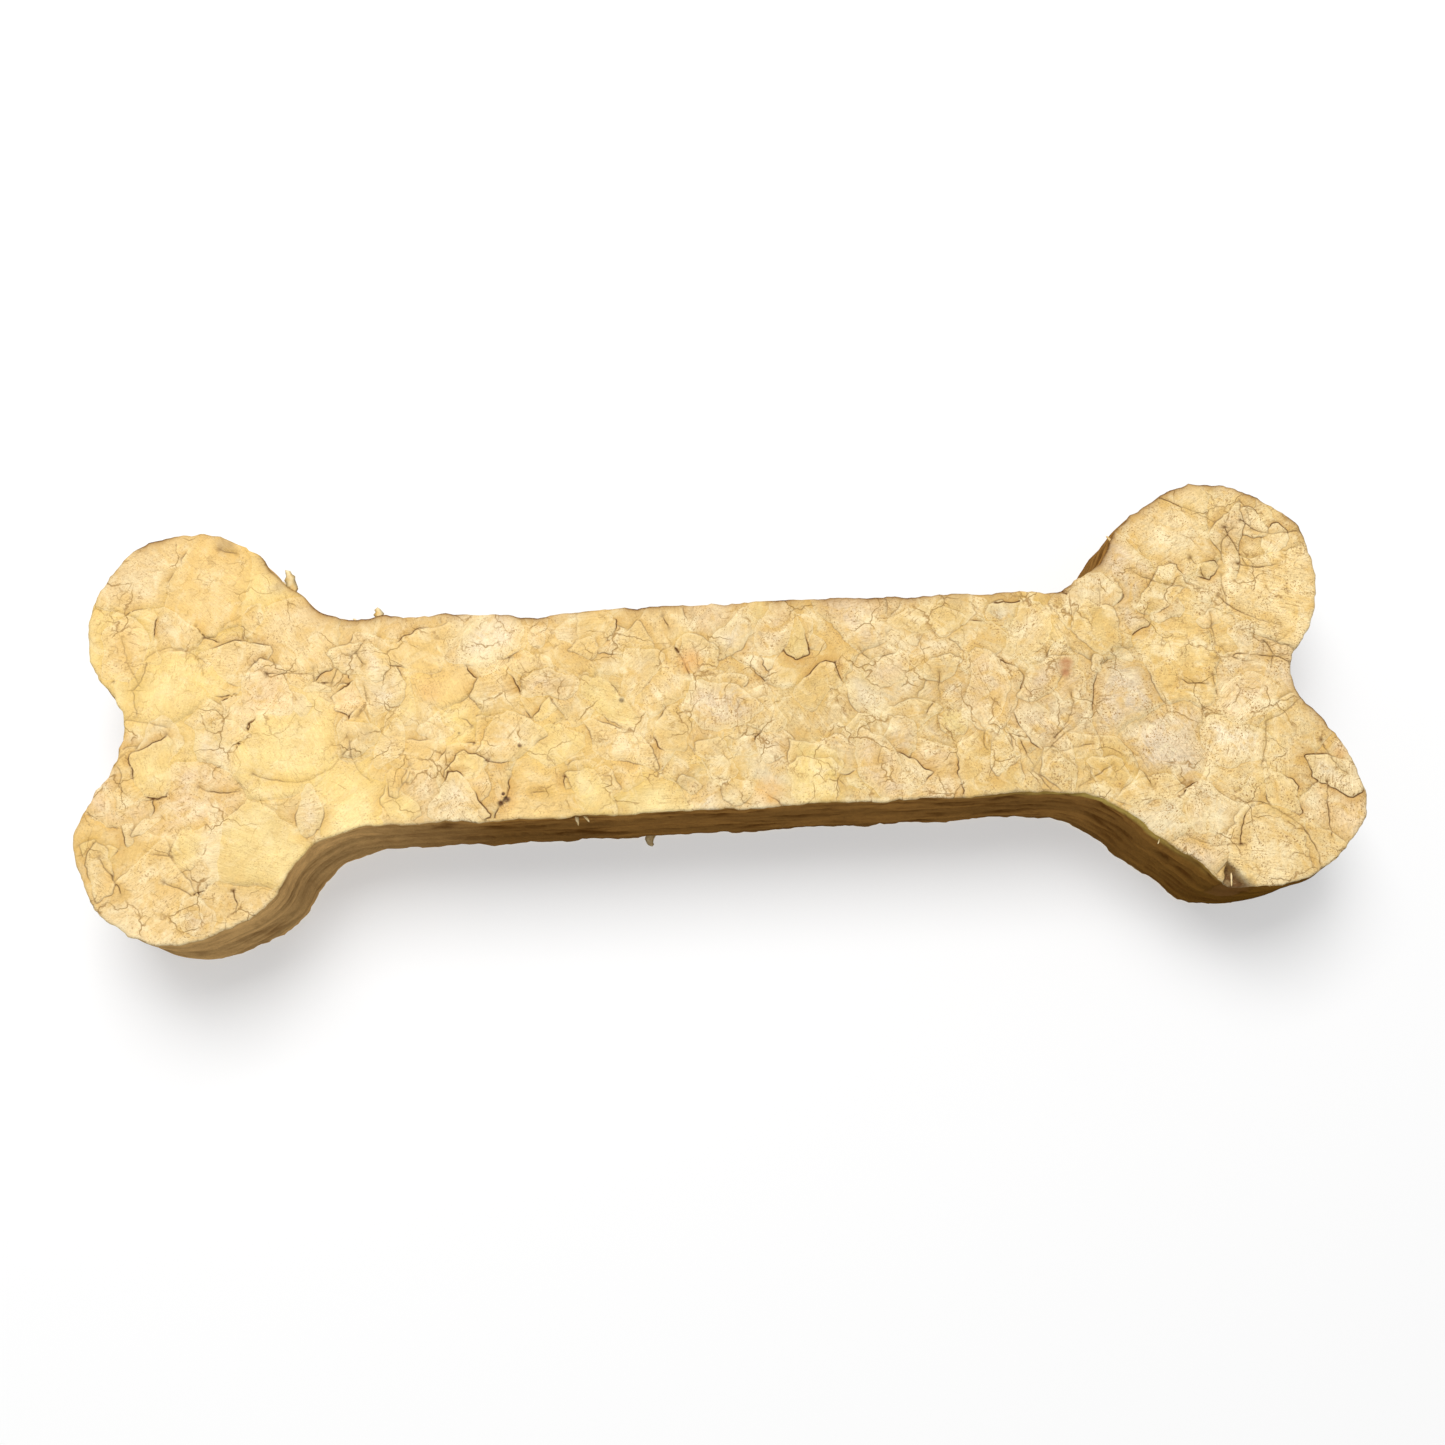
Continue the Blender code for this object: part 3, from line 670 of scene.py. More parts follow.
def seam_net(flakes):
    """Every seam once as a line, the flake that is higher beside it, and the loop round each flake."""
    corners = []
    seams = {}

    def corner_number(place):
        close = [k for k, corner in enumerate(corners) if (corner - place).length < SHORTEST_SEAM]
        if not close:
            corners.append(place)
        return close[0] if close else len(corners) - 1

    def seam_between(start, end):
        if (end, start) in seams:
            return seams[end, start][::-1]
        if (start, end) not in seams:
            count = max(1, round((corners[end] - corners[start]).length / LINE_STEP))
            places = [corners[start].lerp(corners[end], k / count) for k in range(count + 1)]
            seams[start, end] = [wandered(place) for place in places]
        return seams[start, end]

    loops = []
    uppers = {}
    for number, flake in enumerate(flakes):
        numbers = [corner_number(place) for place in straight_cell(flake, flakes)]
        loop = []
        for start, end in zip(numbers, numbers[1:] + numbers[:1]):
            if start != end:
                loop += seam_between(start, end)[:-1]
                ends = (min(start, end), max(start, end))
                if ends not in uppers or flake.lift > flakes[uppers[ends]].lift:
                    uppers[ends] = number
        loops.append(loop)
    return list(seams.values()), [uppers[min(ends), max(ends)] for ends in seams], loops


def ragged_outline(step):
    """The chew's outline with small rags at its edge, the outward directions and the rags' sizes."""
    points, outward = bone_outline(step, SWELLS + SMALL_SWELLS)
    rags = rippled(as_array(points), RIM_RAGS)
    return [point + out * rag for point, out, rag in zip(points, outward, rags)], outward, rags


Line = namedtuple("Line", "points strength depth upper")
NO_FLAKE = -1
FADING_CRACK = -2


def random_strength(rng):
    return rng.uniform(*rng.choice(STRENGTH_RANGES))


def seam_depth(strength):
    return SEAM_DEPTH * (FAINTEST_DEPTH + (1 - FAINTEST_DEPTH) * strength)


def thin_flake(rng, x, y, radius):
    """An uneven polygon, longer one way, with its corners cut off and its sides ragged."""
    count = rng.randint(*CORNER_COUNTS)
    stretch = rng.uniform(*STRETCHES)
    turn = Matrix.Rotation(rng.uniform(0.0, math.pi), 2)
    corners = []
    for number in range(count):
        angle = math.tau * (number + rng.uniform(-CORNER_SHIFT, CORNER_SHIFT)) / count
        reach = radius * rng.uniform(*CORNER_REACHES)
        spoke = Vector((reach * stretch * math.cos(angle), reach / stretch * math.sin(angle)))
        corners.append(Vector((x, y)) + turn @ spoke)
    sides = zip(corners, corners[1:] + corners[:1])
    smooth = [start.lerp(end, share) for start, end in sides for share in (CORNER_CUT, 1 - CORNER_CUT)]
    return [
        place + FINE_BEND * smooth_pair(place, FINE_BEND_LENGTH)
        + RAGGED_BEND * smooth_pair(place, RAGGED_BEND_LENGTH)
        for place in evenly_spaced(smooth, LINE_STEP)
    ]


def thin_flakes(seed, count, field):
    """Thin flakes over all but the large chosen ones; later ones lie over the earlier and are larger."""
    rng = random.Random(seed)
    whole = [flake for flake in UPPER_FLAKES if flake.radius > SHOWN_WHOLE]
    patches = []
    while len(patches) < count:
        x = rng.uniform(-FIELD_HALF_LENGTH, FIELD_HALF_LENGTH)
        y = rng.uniform(-FIELD_HALF_WIDTH, FIELD_HALF_WIDTH)
        share = min(1, max(0, len(patches) / count + rng.uniform(-SIZE_SCATTER, SIZE_SCATTER)))
        radius = SMALLEST_THIN_FLAKE + (LARGEST_THIN_FLAKE - SMALLEST_THIN_FLAKE) * share
        lift = rng.uniform(0.0, MOST_THIN_FLAKE_LIFT)
        gap = THIN_FLAKE_CROWDING
        apart = all(math.hypot(x - f.x, y - f.y) > gap * (f.radius + radius) for f in whole)
        if apart and is_inside(x, y, field):
            patches.append(Patch(thin_flake(rng, x, y, radius), x, y, lift, None))
    return patches


def as_array(points):
    return np.array([point[:] for point in points])


def inside_loop(points, loop):
    """Whether each point is inside a closed line, by counting crossings to its right."""
    ends = np.roll(loop, -1, axis=0)
    x, y = points[:, :1], points[:, 1:]
    spans = (loop[:, 1] > y) != (ends[:, 1] > y)
    rise = np.where(ends[:, 1] == loop[:, 1], 1.0, ends[:, 1] - loop[:, 1])
    crossing = loop[:, 0] + (ends[:, 0] - loop[:, 0]) * (y - loop[:, 1]) / rise
    return (spans & (x < crossing)).sum(axis=1) % 2 == 1


def numbers_inside(points, loop):
    """The numbers of the points inside a closed line."""
    low, high = loop.min(axis=0), loop.max(axis=0)
    near = np.nonzero(((points > low) & (points < high)).all(axis=1))[0]
    return near[inside_loop(points[near], loop)]


def is_covered(points, loops):
    """Whether each point is inside any of the closed lines."""
    covered = np.zeros(len(points), bool)
    for loop in loops:
        covered[numbers_inside(points, loop)] = True
    return covered


def stretches(points, wanted):
    """The parts of a line whose points are wanted, each with three points or more."""
    runs = [[]]
    for point, is_wanted in zip(points, wanted):
        if is_wanted:
            runs[-1].append(point)
        elif runs[-1]:
            runs.append([])
    return [run for run in runs if len(run) > 2]


def flake_lines(seams, uppers, patches, first_patch, rng):
    """The seams and thin flakes' edges that show, and the seams that thin flakes lie over."""
    loops = [as_array(patch.loop) for patch in patches]
    shown = []
    hidden = []
    for points, upper in zip(seams, uppers):
        covered = is_covered(as_array(points), loops)
        strength = random_strength(rng)
        for run in stretches(points, ~covered):
            shown.append(Line(run, strength, seam_depth(strength), upper))
        for run in stretches(points, covered):
            hidden.append(Line(run, 0.0, HIDDEN_DEPTH, NO_FLAKE))
    for number, patch in enumerate(patches):
        edge = patch.loop + patch.loop[:1]
        covered = is_covered(as_array(edge), loops[number + 1 :])
        for run in stretches(edge, ~covered):
            strength = random_strength(rng)
            depth = THIN_FLAKE_DEPTH * seam_depth(strength)
            shown.append(Line(run, strength, depth, first_patch + number))
    return shown, hidden


def crack_line(crack, rng, upper):
    """A thin crack that turns as it says, and wanders a little."""
    place = Vector((crack.x, crack.y))
    heading = math.radians(crack.heading)
    points = [place]
    for _ in range(max(2, round(crack.length / LINE_STEP))):
        heading += math.radians(crack.bend) * LINE_STEP + rng.gauss(0.0, CRACK_WANDER)
        place = place + LINE_STEP * Vector((math.cos(heading), math.sin(heading)))
        points.append(place)
    points = [point + CRACK_RAGS * smooth_pair(point, RAGGED_BEND_LENGTH) for point in points]
    return Line(points, crack.strength, CRACK_DEPTH * crack.strength, upper)


def crack_lines(chosen, count, rng):
    """The chosen cracks, and random fainter ones."""
    lines = [crack_line(crack, rng, NO_FLAKE) for crack in chosen]
    for _ in range(count):
        x = rng.uniform(-RANDOM_CRACK_X, RANDOM_CRACK_X)
        y = rng.uniform(-RANDOM_CRACK_Y, RANDOM_CRACK_Y)
        length = rng.uniform(*CRACK_LENGTHS)
        strength = rng.uniform(*CRACK_STRENGTHS)
        bend = rng.uniform(-STEEPEST_BEND, STEEPEST_BEND)
        crack = Crack(x, y, rng.uniform(0, 360), length, strength, bend)
        lines.append(crack_line(crack, rng, FADING_CRACK))
    return lines


def finder(points):
    """A search tree over places on the plane."""
    tree = KDTree(len(points))
    for index, (x, y) in enumerate(points):
        tree.insert((x, y, 0.0), index)
    tree.balance()
    return tree


def nearest(tree, points):
    """Number of and distance to the tree's nearest place, for each point."""
    found = [tree.find((x, y, 0.0)) for x, y in points]
    return np.array([hit[1] for hit in found]), np.array([hit[2] for hit in found])


def noise_at(points, length, layer):
    """Smooth noise from -1 to 1 at each point."""
    return np.array([noise.noise((x / length, y / length, layer)) for x, y in points])


def rippled(points, ripples):
    """The sum of some ripples at each point."""
    return sum(ripple.size * noise_at(points, ripple.length, ripple.layer) for ripple in ripples)


def patchy(points, patches):
    """Strong and weak patches from 0.1 to 1."""
    change = patches.change * noise_at(points, patches.length, patches.layer)
    return np.clip(patches.middle + change, LEAST_PATCH, 1.0)


def tapered(distance, reach):
    """From 1 at a line, falling steadily to 0 where the reach ends."""
    return np.clip(1 - distance / reach, 0, 1)


Samples = namedtuple("Samples", "places strengths depths uppers")


def sampled(lines):
    """Close samples along all the lines."""
    places = []
    values = []
    for line in lines:
        for start, end in zip(line.points, line.points[1:]):
            count = max(1, math.ceil((end - start).length / SAMPLE_STEP))
            places += [start.lerp(end, k / count)[:] for k in range(count)]
            values += [(line.strength, line.depth, line.upper)] * count
    places = np.array(places)
    strengths, depths, uppers = np.array(values).T
    fading = FADING + rippled(places, LINE_FADING) + FADING_TO_LEFT * places[:, 0]
    fading = np.clip(fading, np.where(uppers == NO_FLAKE, LEAST_CHOSEN, LEAST_OTHER), 1.0)
    depths = depths * (FADED_DEPTH + (1 - FADED_DEPTH) * fading)
    return Samples(places, strengths * fading, depths, uppers.astype(int))


def thinned(points, gap):
    """The points without those that share a small square with an earlier one."""
    taken = set()
    kept = []
    for x, y in points:
        square = (round(x / gap), round(y / gap))
        if square not in taken:
            taken.add(square)
            kept.append((x, y))
    return kept


def side_rows(lines, side):
    """Points a little to the left or right of every line."""
    rows = []
    for line in lines:
        for before, here, after in zip(line.points, line.points[1:], line.points[2:]):
            along = (after - before).normalized()
            rows.append((here.x - side * along.y, here.y + side * along.x))
    return rows


def grid_points(step):
    """A triangular grid over the whole field."""
    row_step = step * math.sqrt(3) / 2
    rows = int(2 * FIELD_HALF_WIDTH / row_step)
    columns = int(2 * FIELD_HALF_LENGTH / step)
    row, column = np.mgrid[0:rows, 0:columns]
    x = -FIELD_HALF_LENGTH + step * (column + 0.5 * (row % 2))
    y = -FIELD_HALF_WIDTH + row_step * row
    return np.stack([x.ravel(), y.ravel()], axis=1)


def dot_points():
    """Close points at the small spots, so that these show sharply."""
    points = []
    for stain in STAINS:
        if stain.radius < SMALL_STAIN:
            for row in range(-DOT_ROWS, DOT_ROWS + 1):
                for column in range(-DOT_ROWS, DOT_ROWS + 1):
                    shift = Vector((column + 0.5 * (row % 2), row)) * stain.radius / DOT_ROWS
                    points.append((stain.x + shift.x, stain.y + shift.y))
    return np.array(points)


def sheet_mesh(outline, outward, lines, step):
    """Places and triangles of a flat sheet that follows the lines; the rim's points come first."""
    rim = as_array(outline)
    bevel = [(point - out * RIM_BEVEL)[:] for point, out in zip(outline, outward)]
    rim_tree = finder(rim)
    centres = thinned([point[:] for line in lines for point in line.points], CENTRE_GAP)
    sides = side_rows(lines, LINE_SIDE) + side_rows(lines, -LINE_SIDE)
    line_tree = finder(sampled(lines).places)
    sides = np.array(thinned(sides, SIDE_GAP))
    sides = sides[nearest(line_tree, sides)[1] > LINE_CLEARANCE * LINE_SIDE]
    grid = grid_points(step)
    grid = grid[inside_loop(grid, rim)]
    grid = grid[nearest(line_tree, grid)[1] > GRID_CLEARANCE * step]
    inner = np.concatenate([np.array(centres), sides, grid, dot_points()])
    inner = inner[inside_loop(inner, np.array(bevel))]
    inner = inner[nearest(rim_tree, inner)[1] > RIM_CLEARANCE * RIM_STEP]
    points = [Vector(place) for place in (*rim, *bevel, *inner)]
    loop = list(range(len(rim)))
    placed, _, triangles, origins, _, _ = delaunay_2d_cdt(points, [], [loop], 1, MERGE_GAP)
    order = np.full(len(placed), -1)
    number = len(rim)
    for index, known in enumerate(origins):
        if known and min(known) < len(rim):
            order[index] = min(known)
        else:
            order[index] = number
            number += 1
    places = np.zeros((len(placed), 2))
    places[order] = [place[:] for place in placed]
    return places, order[np.array(triangles)]


def owners(places, triangles, loops, flakes):
    """The number of the flake that each triangle belongs to; the later loops lie over the earlier."""
    middles = places[triangles].mean(axis=1)
    owner = nearest(finder(np.array([(flake.x, flake.y) for flake in flakes])), middles)[0]
    for number, loop in enumerate(loops):
        owner[numbers_inside(middles, as_array(loop))] = number
    return owner


def tilt_of(flake):
    """The slope of a flake's surface along X and Y."""
    return STEEPEST_TILT * smooth_pair(flake, TILT_CHANGE_LENGTH)


def corner_means(values, triangles, count):
    """The mean of the triangles' corner values at each place."""
    total = np.zeros(count)
    weight = np.zeros(count)
    np.add.at(total, triangles, values)
    np.add.at(weight, triangles, 1)
    return total / np.maximum(weight, 1)


def flake_levels(places, triangles, owner, flakes):
    """Level of each place on the upper face: that of its flake with soft steps, and a chip's depth."""
    lift = np.array([flake.lift for flake in flakes])[owner][:, None]
    tilt = as_array([tilt_of(flake) for flake in flakes])[owner][:, None]
    middle = np.array([(flake.x, flake.y) for flake in flakes])[owner][:, None]
    slope = ((places[triangles] - middle) * tilt).sum(axis=2)
    level = corner_means(np.maximum(lift, DEEPEST_SMOOTHED) + slope, triangles, len(places))
    for _ in range(SMOOTHING_ROUNDS):
        around = level[triangles].mean(axis=1)[:, None] * np.ones(3)
        level = corner_means(around, triangles, len(places))
    return level + (CHIP_LIFT - DEEPEST_SMOOTHED) * chip_share(places)


def chip_share(places):
    """How much of the chip's depth each place has: a wedge that widens towards the rim."""
    offset = places - np.array(CHIP_TIP)
    along = offset @ np.array(CHIP_WAY)
    across = offset @ np.array((-CHIP_WAY[1], CHIP_WAY[0]))
    half_width = CHIP_WIDENING * np.maximum(along, 0)
    inside = np.clip((half_width - np.abs(across)) / CHIP_SIDE, 0, 1)
    return inside * np.clip(along / CHIP_END, 0, 1)


Sheet = namedtuple("Sheet", "places triangles owner height warmth seam halo edge")


def border_warmth(places, distance):
    """From 1 beside a seam, where hide is golden, to -1 in a flake's pale middle; less in patches."""
    towards_middle = np.clip(distance / CENTRE_REACH, 0, 1)
    return (1 - 2 * towards_middle) * patchy(places, WARMTH_PATCHES)


def upper_sheet(outline, outward, flakes, patches):
    """The upper face with its flakes, seams and cracks."""
    rng = random.Random(CRACK_SEED)
    seams, uppers, loops = seam_net(flakes)
    shown, hidden = flake_lines(seams, uppers, patches, len(flakes), rng)
    lines = shown + crack_lines(CRACKS, RANDOM_CRACKS, rng)
    places, triangles = sheet_mesh(outline, outward, lines, GRID_STEP)
    ground = owners(places, triangles, loops, flakes)
    owner = owners(places, triangles, loops + [patch.loop for patch in patches], flakes)
    samples = sampled(lines)
    index, distance = nearest(finder(samples.places), places)
    lifts = np.array([0.0] * len(flakes) + [patch.lift for patch in patches])
    height = THICKNESS - UPPER_FACE_DROP + flake_levels(places, triangles, ground, flakes)
    height += corner_means(lifts[owner][:, None] * np.ones(3), triangles, len(places))
    height -= samples.depths[index] * tapered(distance, LINE_SIDE)
    height -= EDGE_FALL * samples.strengths[index] * np.exp(-distance / EDGE_FALL_REACH)
    hidden_distance = nearest(finder(sampled(hidden).places), places)[1]
    height -= HIDDEN_DEPTH * np.exp(-((hidden_distance / HIDDEN_REACH) ** 2))
    height += rippled(places, DENTS)
    rim = places[: len(outline)]
    height[: len(rim)] -= RIM_DROP + rippled(rim, RIM_DROPS)
    marks = line_marks(samples, index, distance, triangles, owner)
    marks = with_rim_shade_and_highlight(marks, places, triangles, rim, outward)
    return Sheet(places, triangles, owner, height, border_warmth(places, distance), *marks)


def with_rim_shade_and_highlight(marks, places, triangles, rim, outward):
    """The marks with painted brown shade along the back rim and a painted pale highlight along the front
    one.
    """
    seam, halo, edge = marks
    rim_index, rim_distance = nearest(finder(rim), places)
    facing = as_array(outward)[rim_index, 1]
    strength = patchy(places, RIM_PATCHES)
    back_shade_share = np.clip(facing + SIDE_SHARE, 0, 1) * strength
    front_highlight_share = np.clip(SIDE_SHARE - facing, 0, 1) * strength
    close = np.exp(-rim_distance / RIM_SHADE_AND_HIGHLIGHT_REACH)
    # Painted shade: a brown line and shade along the back rim
    seam = np.maximum(seam, BACK_RIM_PAINTED_SHADE * back_shade_share * close)
    halo = np.maximum(halo, (back_shade_share * np.exp(-rim_distance / BACK_SHADE_REACH))[triangles])
    # Painted highlight: a pale edge along the front rim
    edge = np.maximum(edge, (FRONT_RIM_HIGHLIGHT * front_highlight_share * close)[triangles])
    return seam, halo, edge


def line_marks(samples, index, distance, triangles, owner):
    """Darkness of lines at the places; painted shade beside them, most on the lower flake's side, and
    painted highlights on raised flakes' edges at the triangles' corners.
    """
    seam = tapered(distance, LINE_SIDE) * samples.strengths[index]
    strength = samples.strengths[index][triangles]
    away = distance[triangles]
    upper = samples.uppers[index][triangles]
    raised = upper == owner[:, None]
    # Painted shade beside the lines, weaker on the raised flake's side, like a cast shadow
    halo = strength * np.exp(-((away / SEAM_SHADE_REACH) ** 2)) * np.where(raised, RAISED_SIDE_SHADE_SHARE, 1.0)
    halo *= np.where(upper < 0, CRACK_SHADE_SHARE, 1.0)
    # Painted highlight: pale edges on the raised flake's side of a line
    edge = np.exp(-away / RAISED_EDGE_HIGHLIGHT_REACH) * raised
    return seam, halo, edge


def lower_sheet(outline, outward, flakes):
    """The underside, pressed flat, with its seams as grooves."""
    rng = random.Random(CRACK_SEED + 1)
    seams, uppers, loops = seam_net(flakes)
    lines, _ = flake_lines(seams, uppers, [], len(flakes), rng)
    places, triangles = sheet_mesh(outline, outward, lines, LOWER_GRID_STEP)
    owner = owners(places, triangles, loops, flakes)
    samples = sampled(lines)
    index, distance = nearest(finder(samples.places), places)
    height = samples.depths[index] * tapered(distance, LINE_SIDE)
    height += np.maximum(rippled(places, LOWER_DENTS), 0)
    height[: len(outline)] = LOWER_RIM_RISE
    marks = line_marks(samples, index, distance, triangles, owner)
    return Sheet(places, triangles, owner, height, border_warmth(places, distance), *marks)


def wall_leaves(length, rng):
    """The layers' edges that show on the wall, as long low leaves in staggered rows."""
    leaves = []
    rows = round(THICKNESS / LEAF_HEIGHT)
    columns = round(length / LEAF_LENGTH)
    for row in range(rows):
        for column in range(columns):
            shift = rng.uniform(-LEAF_SHIFT, LEAF_SHIFT)
            along = (column + 0.5 * (row % 2) + shift) * length / columns
            height = (row + 0.5 + rng.uniform(-LEAF_RISE, LEAF_RISE)) * THICKNESS / rows
            leaves.append(Leaf(along, height, rng.uniform(*LEAF_STANDS), rng.uniform(*LEAF_TONES)))
    return leaves


Wall = namedtuple("Wall", "places seam tone")


def leaf_at(spots, leaves, length):
    """The wall's leaf at each spot, and how close to 1 the spot is to the leaf's border."""
    along, height = spots.T
    wave = rippled(spots * LAYER_STRETCH, LAYER_WAVES) + rippled(spots, LAYER_RIPPLES)
    across = np.abs(along[:, None] - [leaf.along for leaf in leaves])
    across = np.minimum(across, length - across) / (LEAF_LENGTH / LEAF_HEIGHT)
    away = np.hypot(across, (height + wave)[:, None] - [leaf.height for leaf in leaves])
    closest = np.sort(away, axis=1)[:, :2]
    return away.argmin(axis=1), tapered(closest[:, 1] - closest[:, 0], LEAF_BORDER)


def wall_mesh(outline, outward, rags, upper, lower):
    """Rows of places between the two rims, how dark the layer edges are there, and their tone."""
    columns = len(outline)
    rim = as_array(outline)
    out = as_array(outward)
    length = RIM_STEP * columns
    leaves = wall_leaves(length, random.Random(WALL_SEED))
    stands = np.array([leaf.stand for leaf in leaves])
    tones = np.array([leaf.tone for leaf in leaves])
    top = upper.height[:columns]
    bottom = lower.height[:columns]
    shares, drawn_stands = zip(*WALL_STANDS)
    rows = []
    for row in range(WALL_ROWS + 1):
        share = 1 - row / WALL_ROWS
        height = bottom + (top - bottom) * share
        spots = np.stack([np.arange(columns) * RIM_STEP, height], axis=1)
        leaf, border = leaf_at(spots, leaves, length)
        seam = border * patchy(spots, LAYER_PATCHES)
        stand = np.interp(share, shares, drawn_stands) + stands[leaf] - LAYER_GROOVE * seam
        stand += rippled(spots, WALL_DENTS) - rags
        stand *= min(WALL_TAPER * min(share, 1 - share), 1)
        x, y = (rim + out * stand[:, None]).T
        rows.append((np.stack([x, y, height], axis=1), seam, tones[leaf]))
    return Wall(*(np.array(values) for values in zip(*rows)))


Part = namedtuple("Part", "places triangles slot seam halo edge wall tint grain fibre uv")
FACE_SLOT = 0
WALL_SLOT = 1


def hide_of(flake, rng):
    """The hide of a flake: its own kind, or a random one that suits its end of the chew."""
    right_share = 0.5 + flake.x / (2 * FIELD_HALF_LENGTH)
    kinds = RIGHT_KINDS if rng.random() < right_share else LEFT_KINDS
    hide = HIDES[flake.kind or rng.choice(kinds)]
    tone = 1 + rng.uniform(-TONE_CHANGE, TONE_CHANGE)
    tone -= MIDDLE_SHADE * math.exp(-(((flake.x - SHADE_X) / SHADE_REACH) ** 2))
    tone += RIGHT_PALENESS * max(0.0, flake.x - PALE_FROM_X) / PALE_REACH
    warmth = [1 - loss * (1 - right_share) for loss in LEFT_WARMTH]
    colour = tuple(tone * part * value for part, value in zip(warmth, hide.colour))
    return Hide(colour, hide.grain + RIGHT_GRAIN * right_share**2)


def blur_rows(values, kernel):
    return np.apply_along_axis(np.convolve, 0, values, kernel, "same")


def spread_softly(values, middles, areas, places):
    """A value of the triangles blurred over a square grid, and read at the places."""
    reach = np.arange(-BLUR_CELLS, BLUR_CELLS + 1)
    kernel = np.exp(-((reach * BLUR_CELL / BLUR_LENGTH) ** 2) / 2)
    corner = np.array([-FIELD_HALF_LENGTH, -FIELD_HALF_WIDTH])
    shape = (int(2 * FIELD_HALF_LENGTH / BLUR_CELL), int(2 * FIELD_HALF_WIDTH / BLUR_CELL))
    cells = []
    for amount in (areas * values, areas):
        total = np.zeros(shape)
        np.add.at(total, tuple(((middles - corner) / BLUR_CELL).astype(int).T), amount)
        cells.append(blur_rows(blur_rows(total, kernel).T, kernel).T)
    column, row = ((places - corner) / BLUR_CELL).astype(int).T
    return cells[0][column, row] / cells[1][column, row]


def blended(values, sheet):
    """The triangles' values at their corners, mixed softly over the borders of the flakes."""
    corners = sheet.places[sheet.triangles]
    first, second = corners[:, 1] - corners[:, 0], corners[:, 2] - corners[:, 0]
    areas = np.abs(first[:, 0] * second[:, 1] - first[:, 1] * second[:, 0])
    soft = spread_softly(values, corners.mean(axis=1), areas, sheet.places)
    return SOFT_SHARE * soft[sheet.triangles] + (1 - SOFT_SHARE) * values[:, None]


def sheet_part(sheet, flakes, seed, map_row, flipped):
    """A wide face with what its material needs at each corner."""
    rng = random.Random(seed)
    hides = [hide_of(flake, rng) for flake in flakes]
    turns = np.array([rng.uniform(0, math.tau) for _ in flakes])[sheet.owner]
    corners = sheet.places[sheet.triangles]
    x, y = corners[..., 0], corners[..., 1]
    along = x * np.cos(turns)[:, None] + y * np.sin(turns)[:, None]
    across = y * np.cos(turns)[:, None] - x * np.sin(turns)[:, None]
    fibre = np.stack([along, across, np.repeat(turns[:, None], 3, axis=1)], axis=2)
    tint = np.array([hide.colour for hide in hides])[sheet.owner]
    grain = np.array([hide.grain for hide in hides])[sheet.owner]
    tint = np.stack([blended(channel, sheet) for channel in tint.T], axis=2)
    tint *= 1 - sheet.warmth[sheet.triangles][..., None] * np.array(BORDER_WARMTH)
    u = 0.5 + (x - MIDDLE.x) / MAP_WIDTH
    v = (map_row + y - MIDDLE.y) / MAP_WIDTH
    triangles = sheet.triangles[:, ::-1] if flipped else sheet.triangles
    step = -1 if flipped else 1
    return Part(
        places=np.column_stack([sheet.places, sheet.height]),
        triangles=triangles,
        slot=np.full(len(triangles), FACE_SLOT),
        seam=sheet.seam,
        halo=sheet.halo[:, ::step],
        edge=sheet.edge[:, ::step],
        wall=np.zeros(len(sheet.places)),
        tint=tint[:, ::step],
        grain=blended(grain, sheet)[:, ::step],
        fibre=fibre[:, ::step],
        uv=np.stack([u, v], axis=2)[:, ::step],
    )


def rising(value, start, reach):
    """From 0 where a value starts to 1 where its reach ends."""
    return np.clip((value - start) / reach, 0, 1)


def left_wall_share(x):
    return rising(-x, *LEFT_END)


def wall_tones(places, tone):
    """The wall's colour, partly painted light and shade: pale at the left end, partly painted sheen; dark
    at the front right, partly painted shade; paler towards the top and golden at a strip of its top,
    painted light through the rim.
    """
    x, y, height = places[..., 0], places[..., 1], places[..., 2]
    left_share = left_wall_share(x)[..., None]
    # Painted shade: the front right of the wall, which faces away from the light, is made darkest
    right_share = (rising(x, *RIGHT_END) * rising(-y, *SHADED_FRONT_SIDE))[..., None]
    # Painted light: the wall is made paler towards its top
    top_light_share = rising(height / THICKNESS, *WALL_TOP) ** 2
    colour = np.array(WALL_COLOUR) * (1 - left_share - right_share)
    # The pale left end is partly the wall's own tone and partly painted sheen
    colour = colour + left_share * np.array(LEFT_WALL_PALE_AND_SHEEN_COLOUR) + right_share * np.array(RIGHT_WALL_DARK_AND_SHADED_COLOUR)
    colour = colour * (tone + TOP_PAINTED_LIGHT * top_light_share)[..., None]
    # Painted light: a golden strip at the top of the front wall near the right notch, as light through the
    # thin rim
    strip = np.exp(-(((x - STRIP_X) / STRIP_REACH) ** 2)) * (y < 0) * rising(height, *STRIP_BOTTOM)
    return colour + strip[..., None] * (np.array(STRIP_PAINTED_LIGHT_COLOUR) - colour)


def wall_cells(rows, columns):
    """Row and column of the three corners of each of the wall's triangles."""
    row, column = np.mgrid[0 : rows - 1, 0:columns]
    row, column = row.ravel(), column.ravel()
    cells = np.stack([row, column, row + 1, column, row + 1, column + 1, row, column + 1], axis=1)
    cells = cells.reshape(-1, 4, 2)[:, [0, 1, 2, 0, 2, 3]].reshape(-1, 3, 2)
    return cells[..., 0], cells[..., 1]


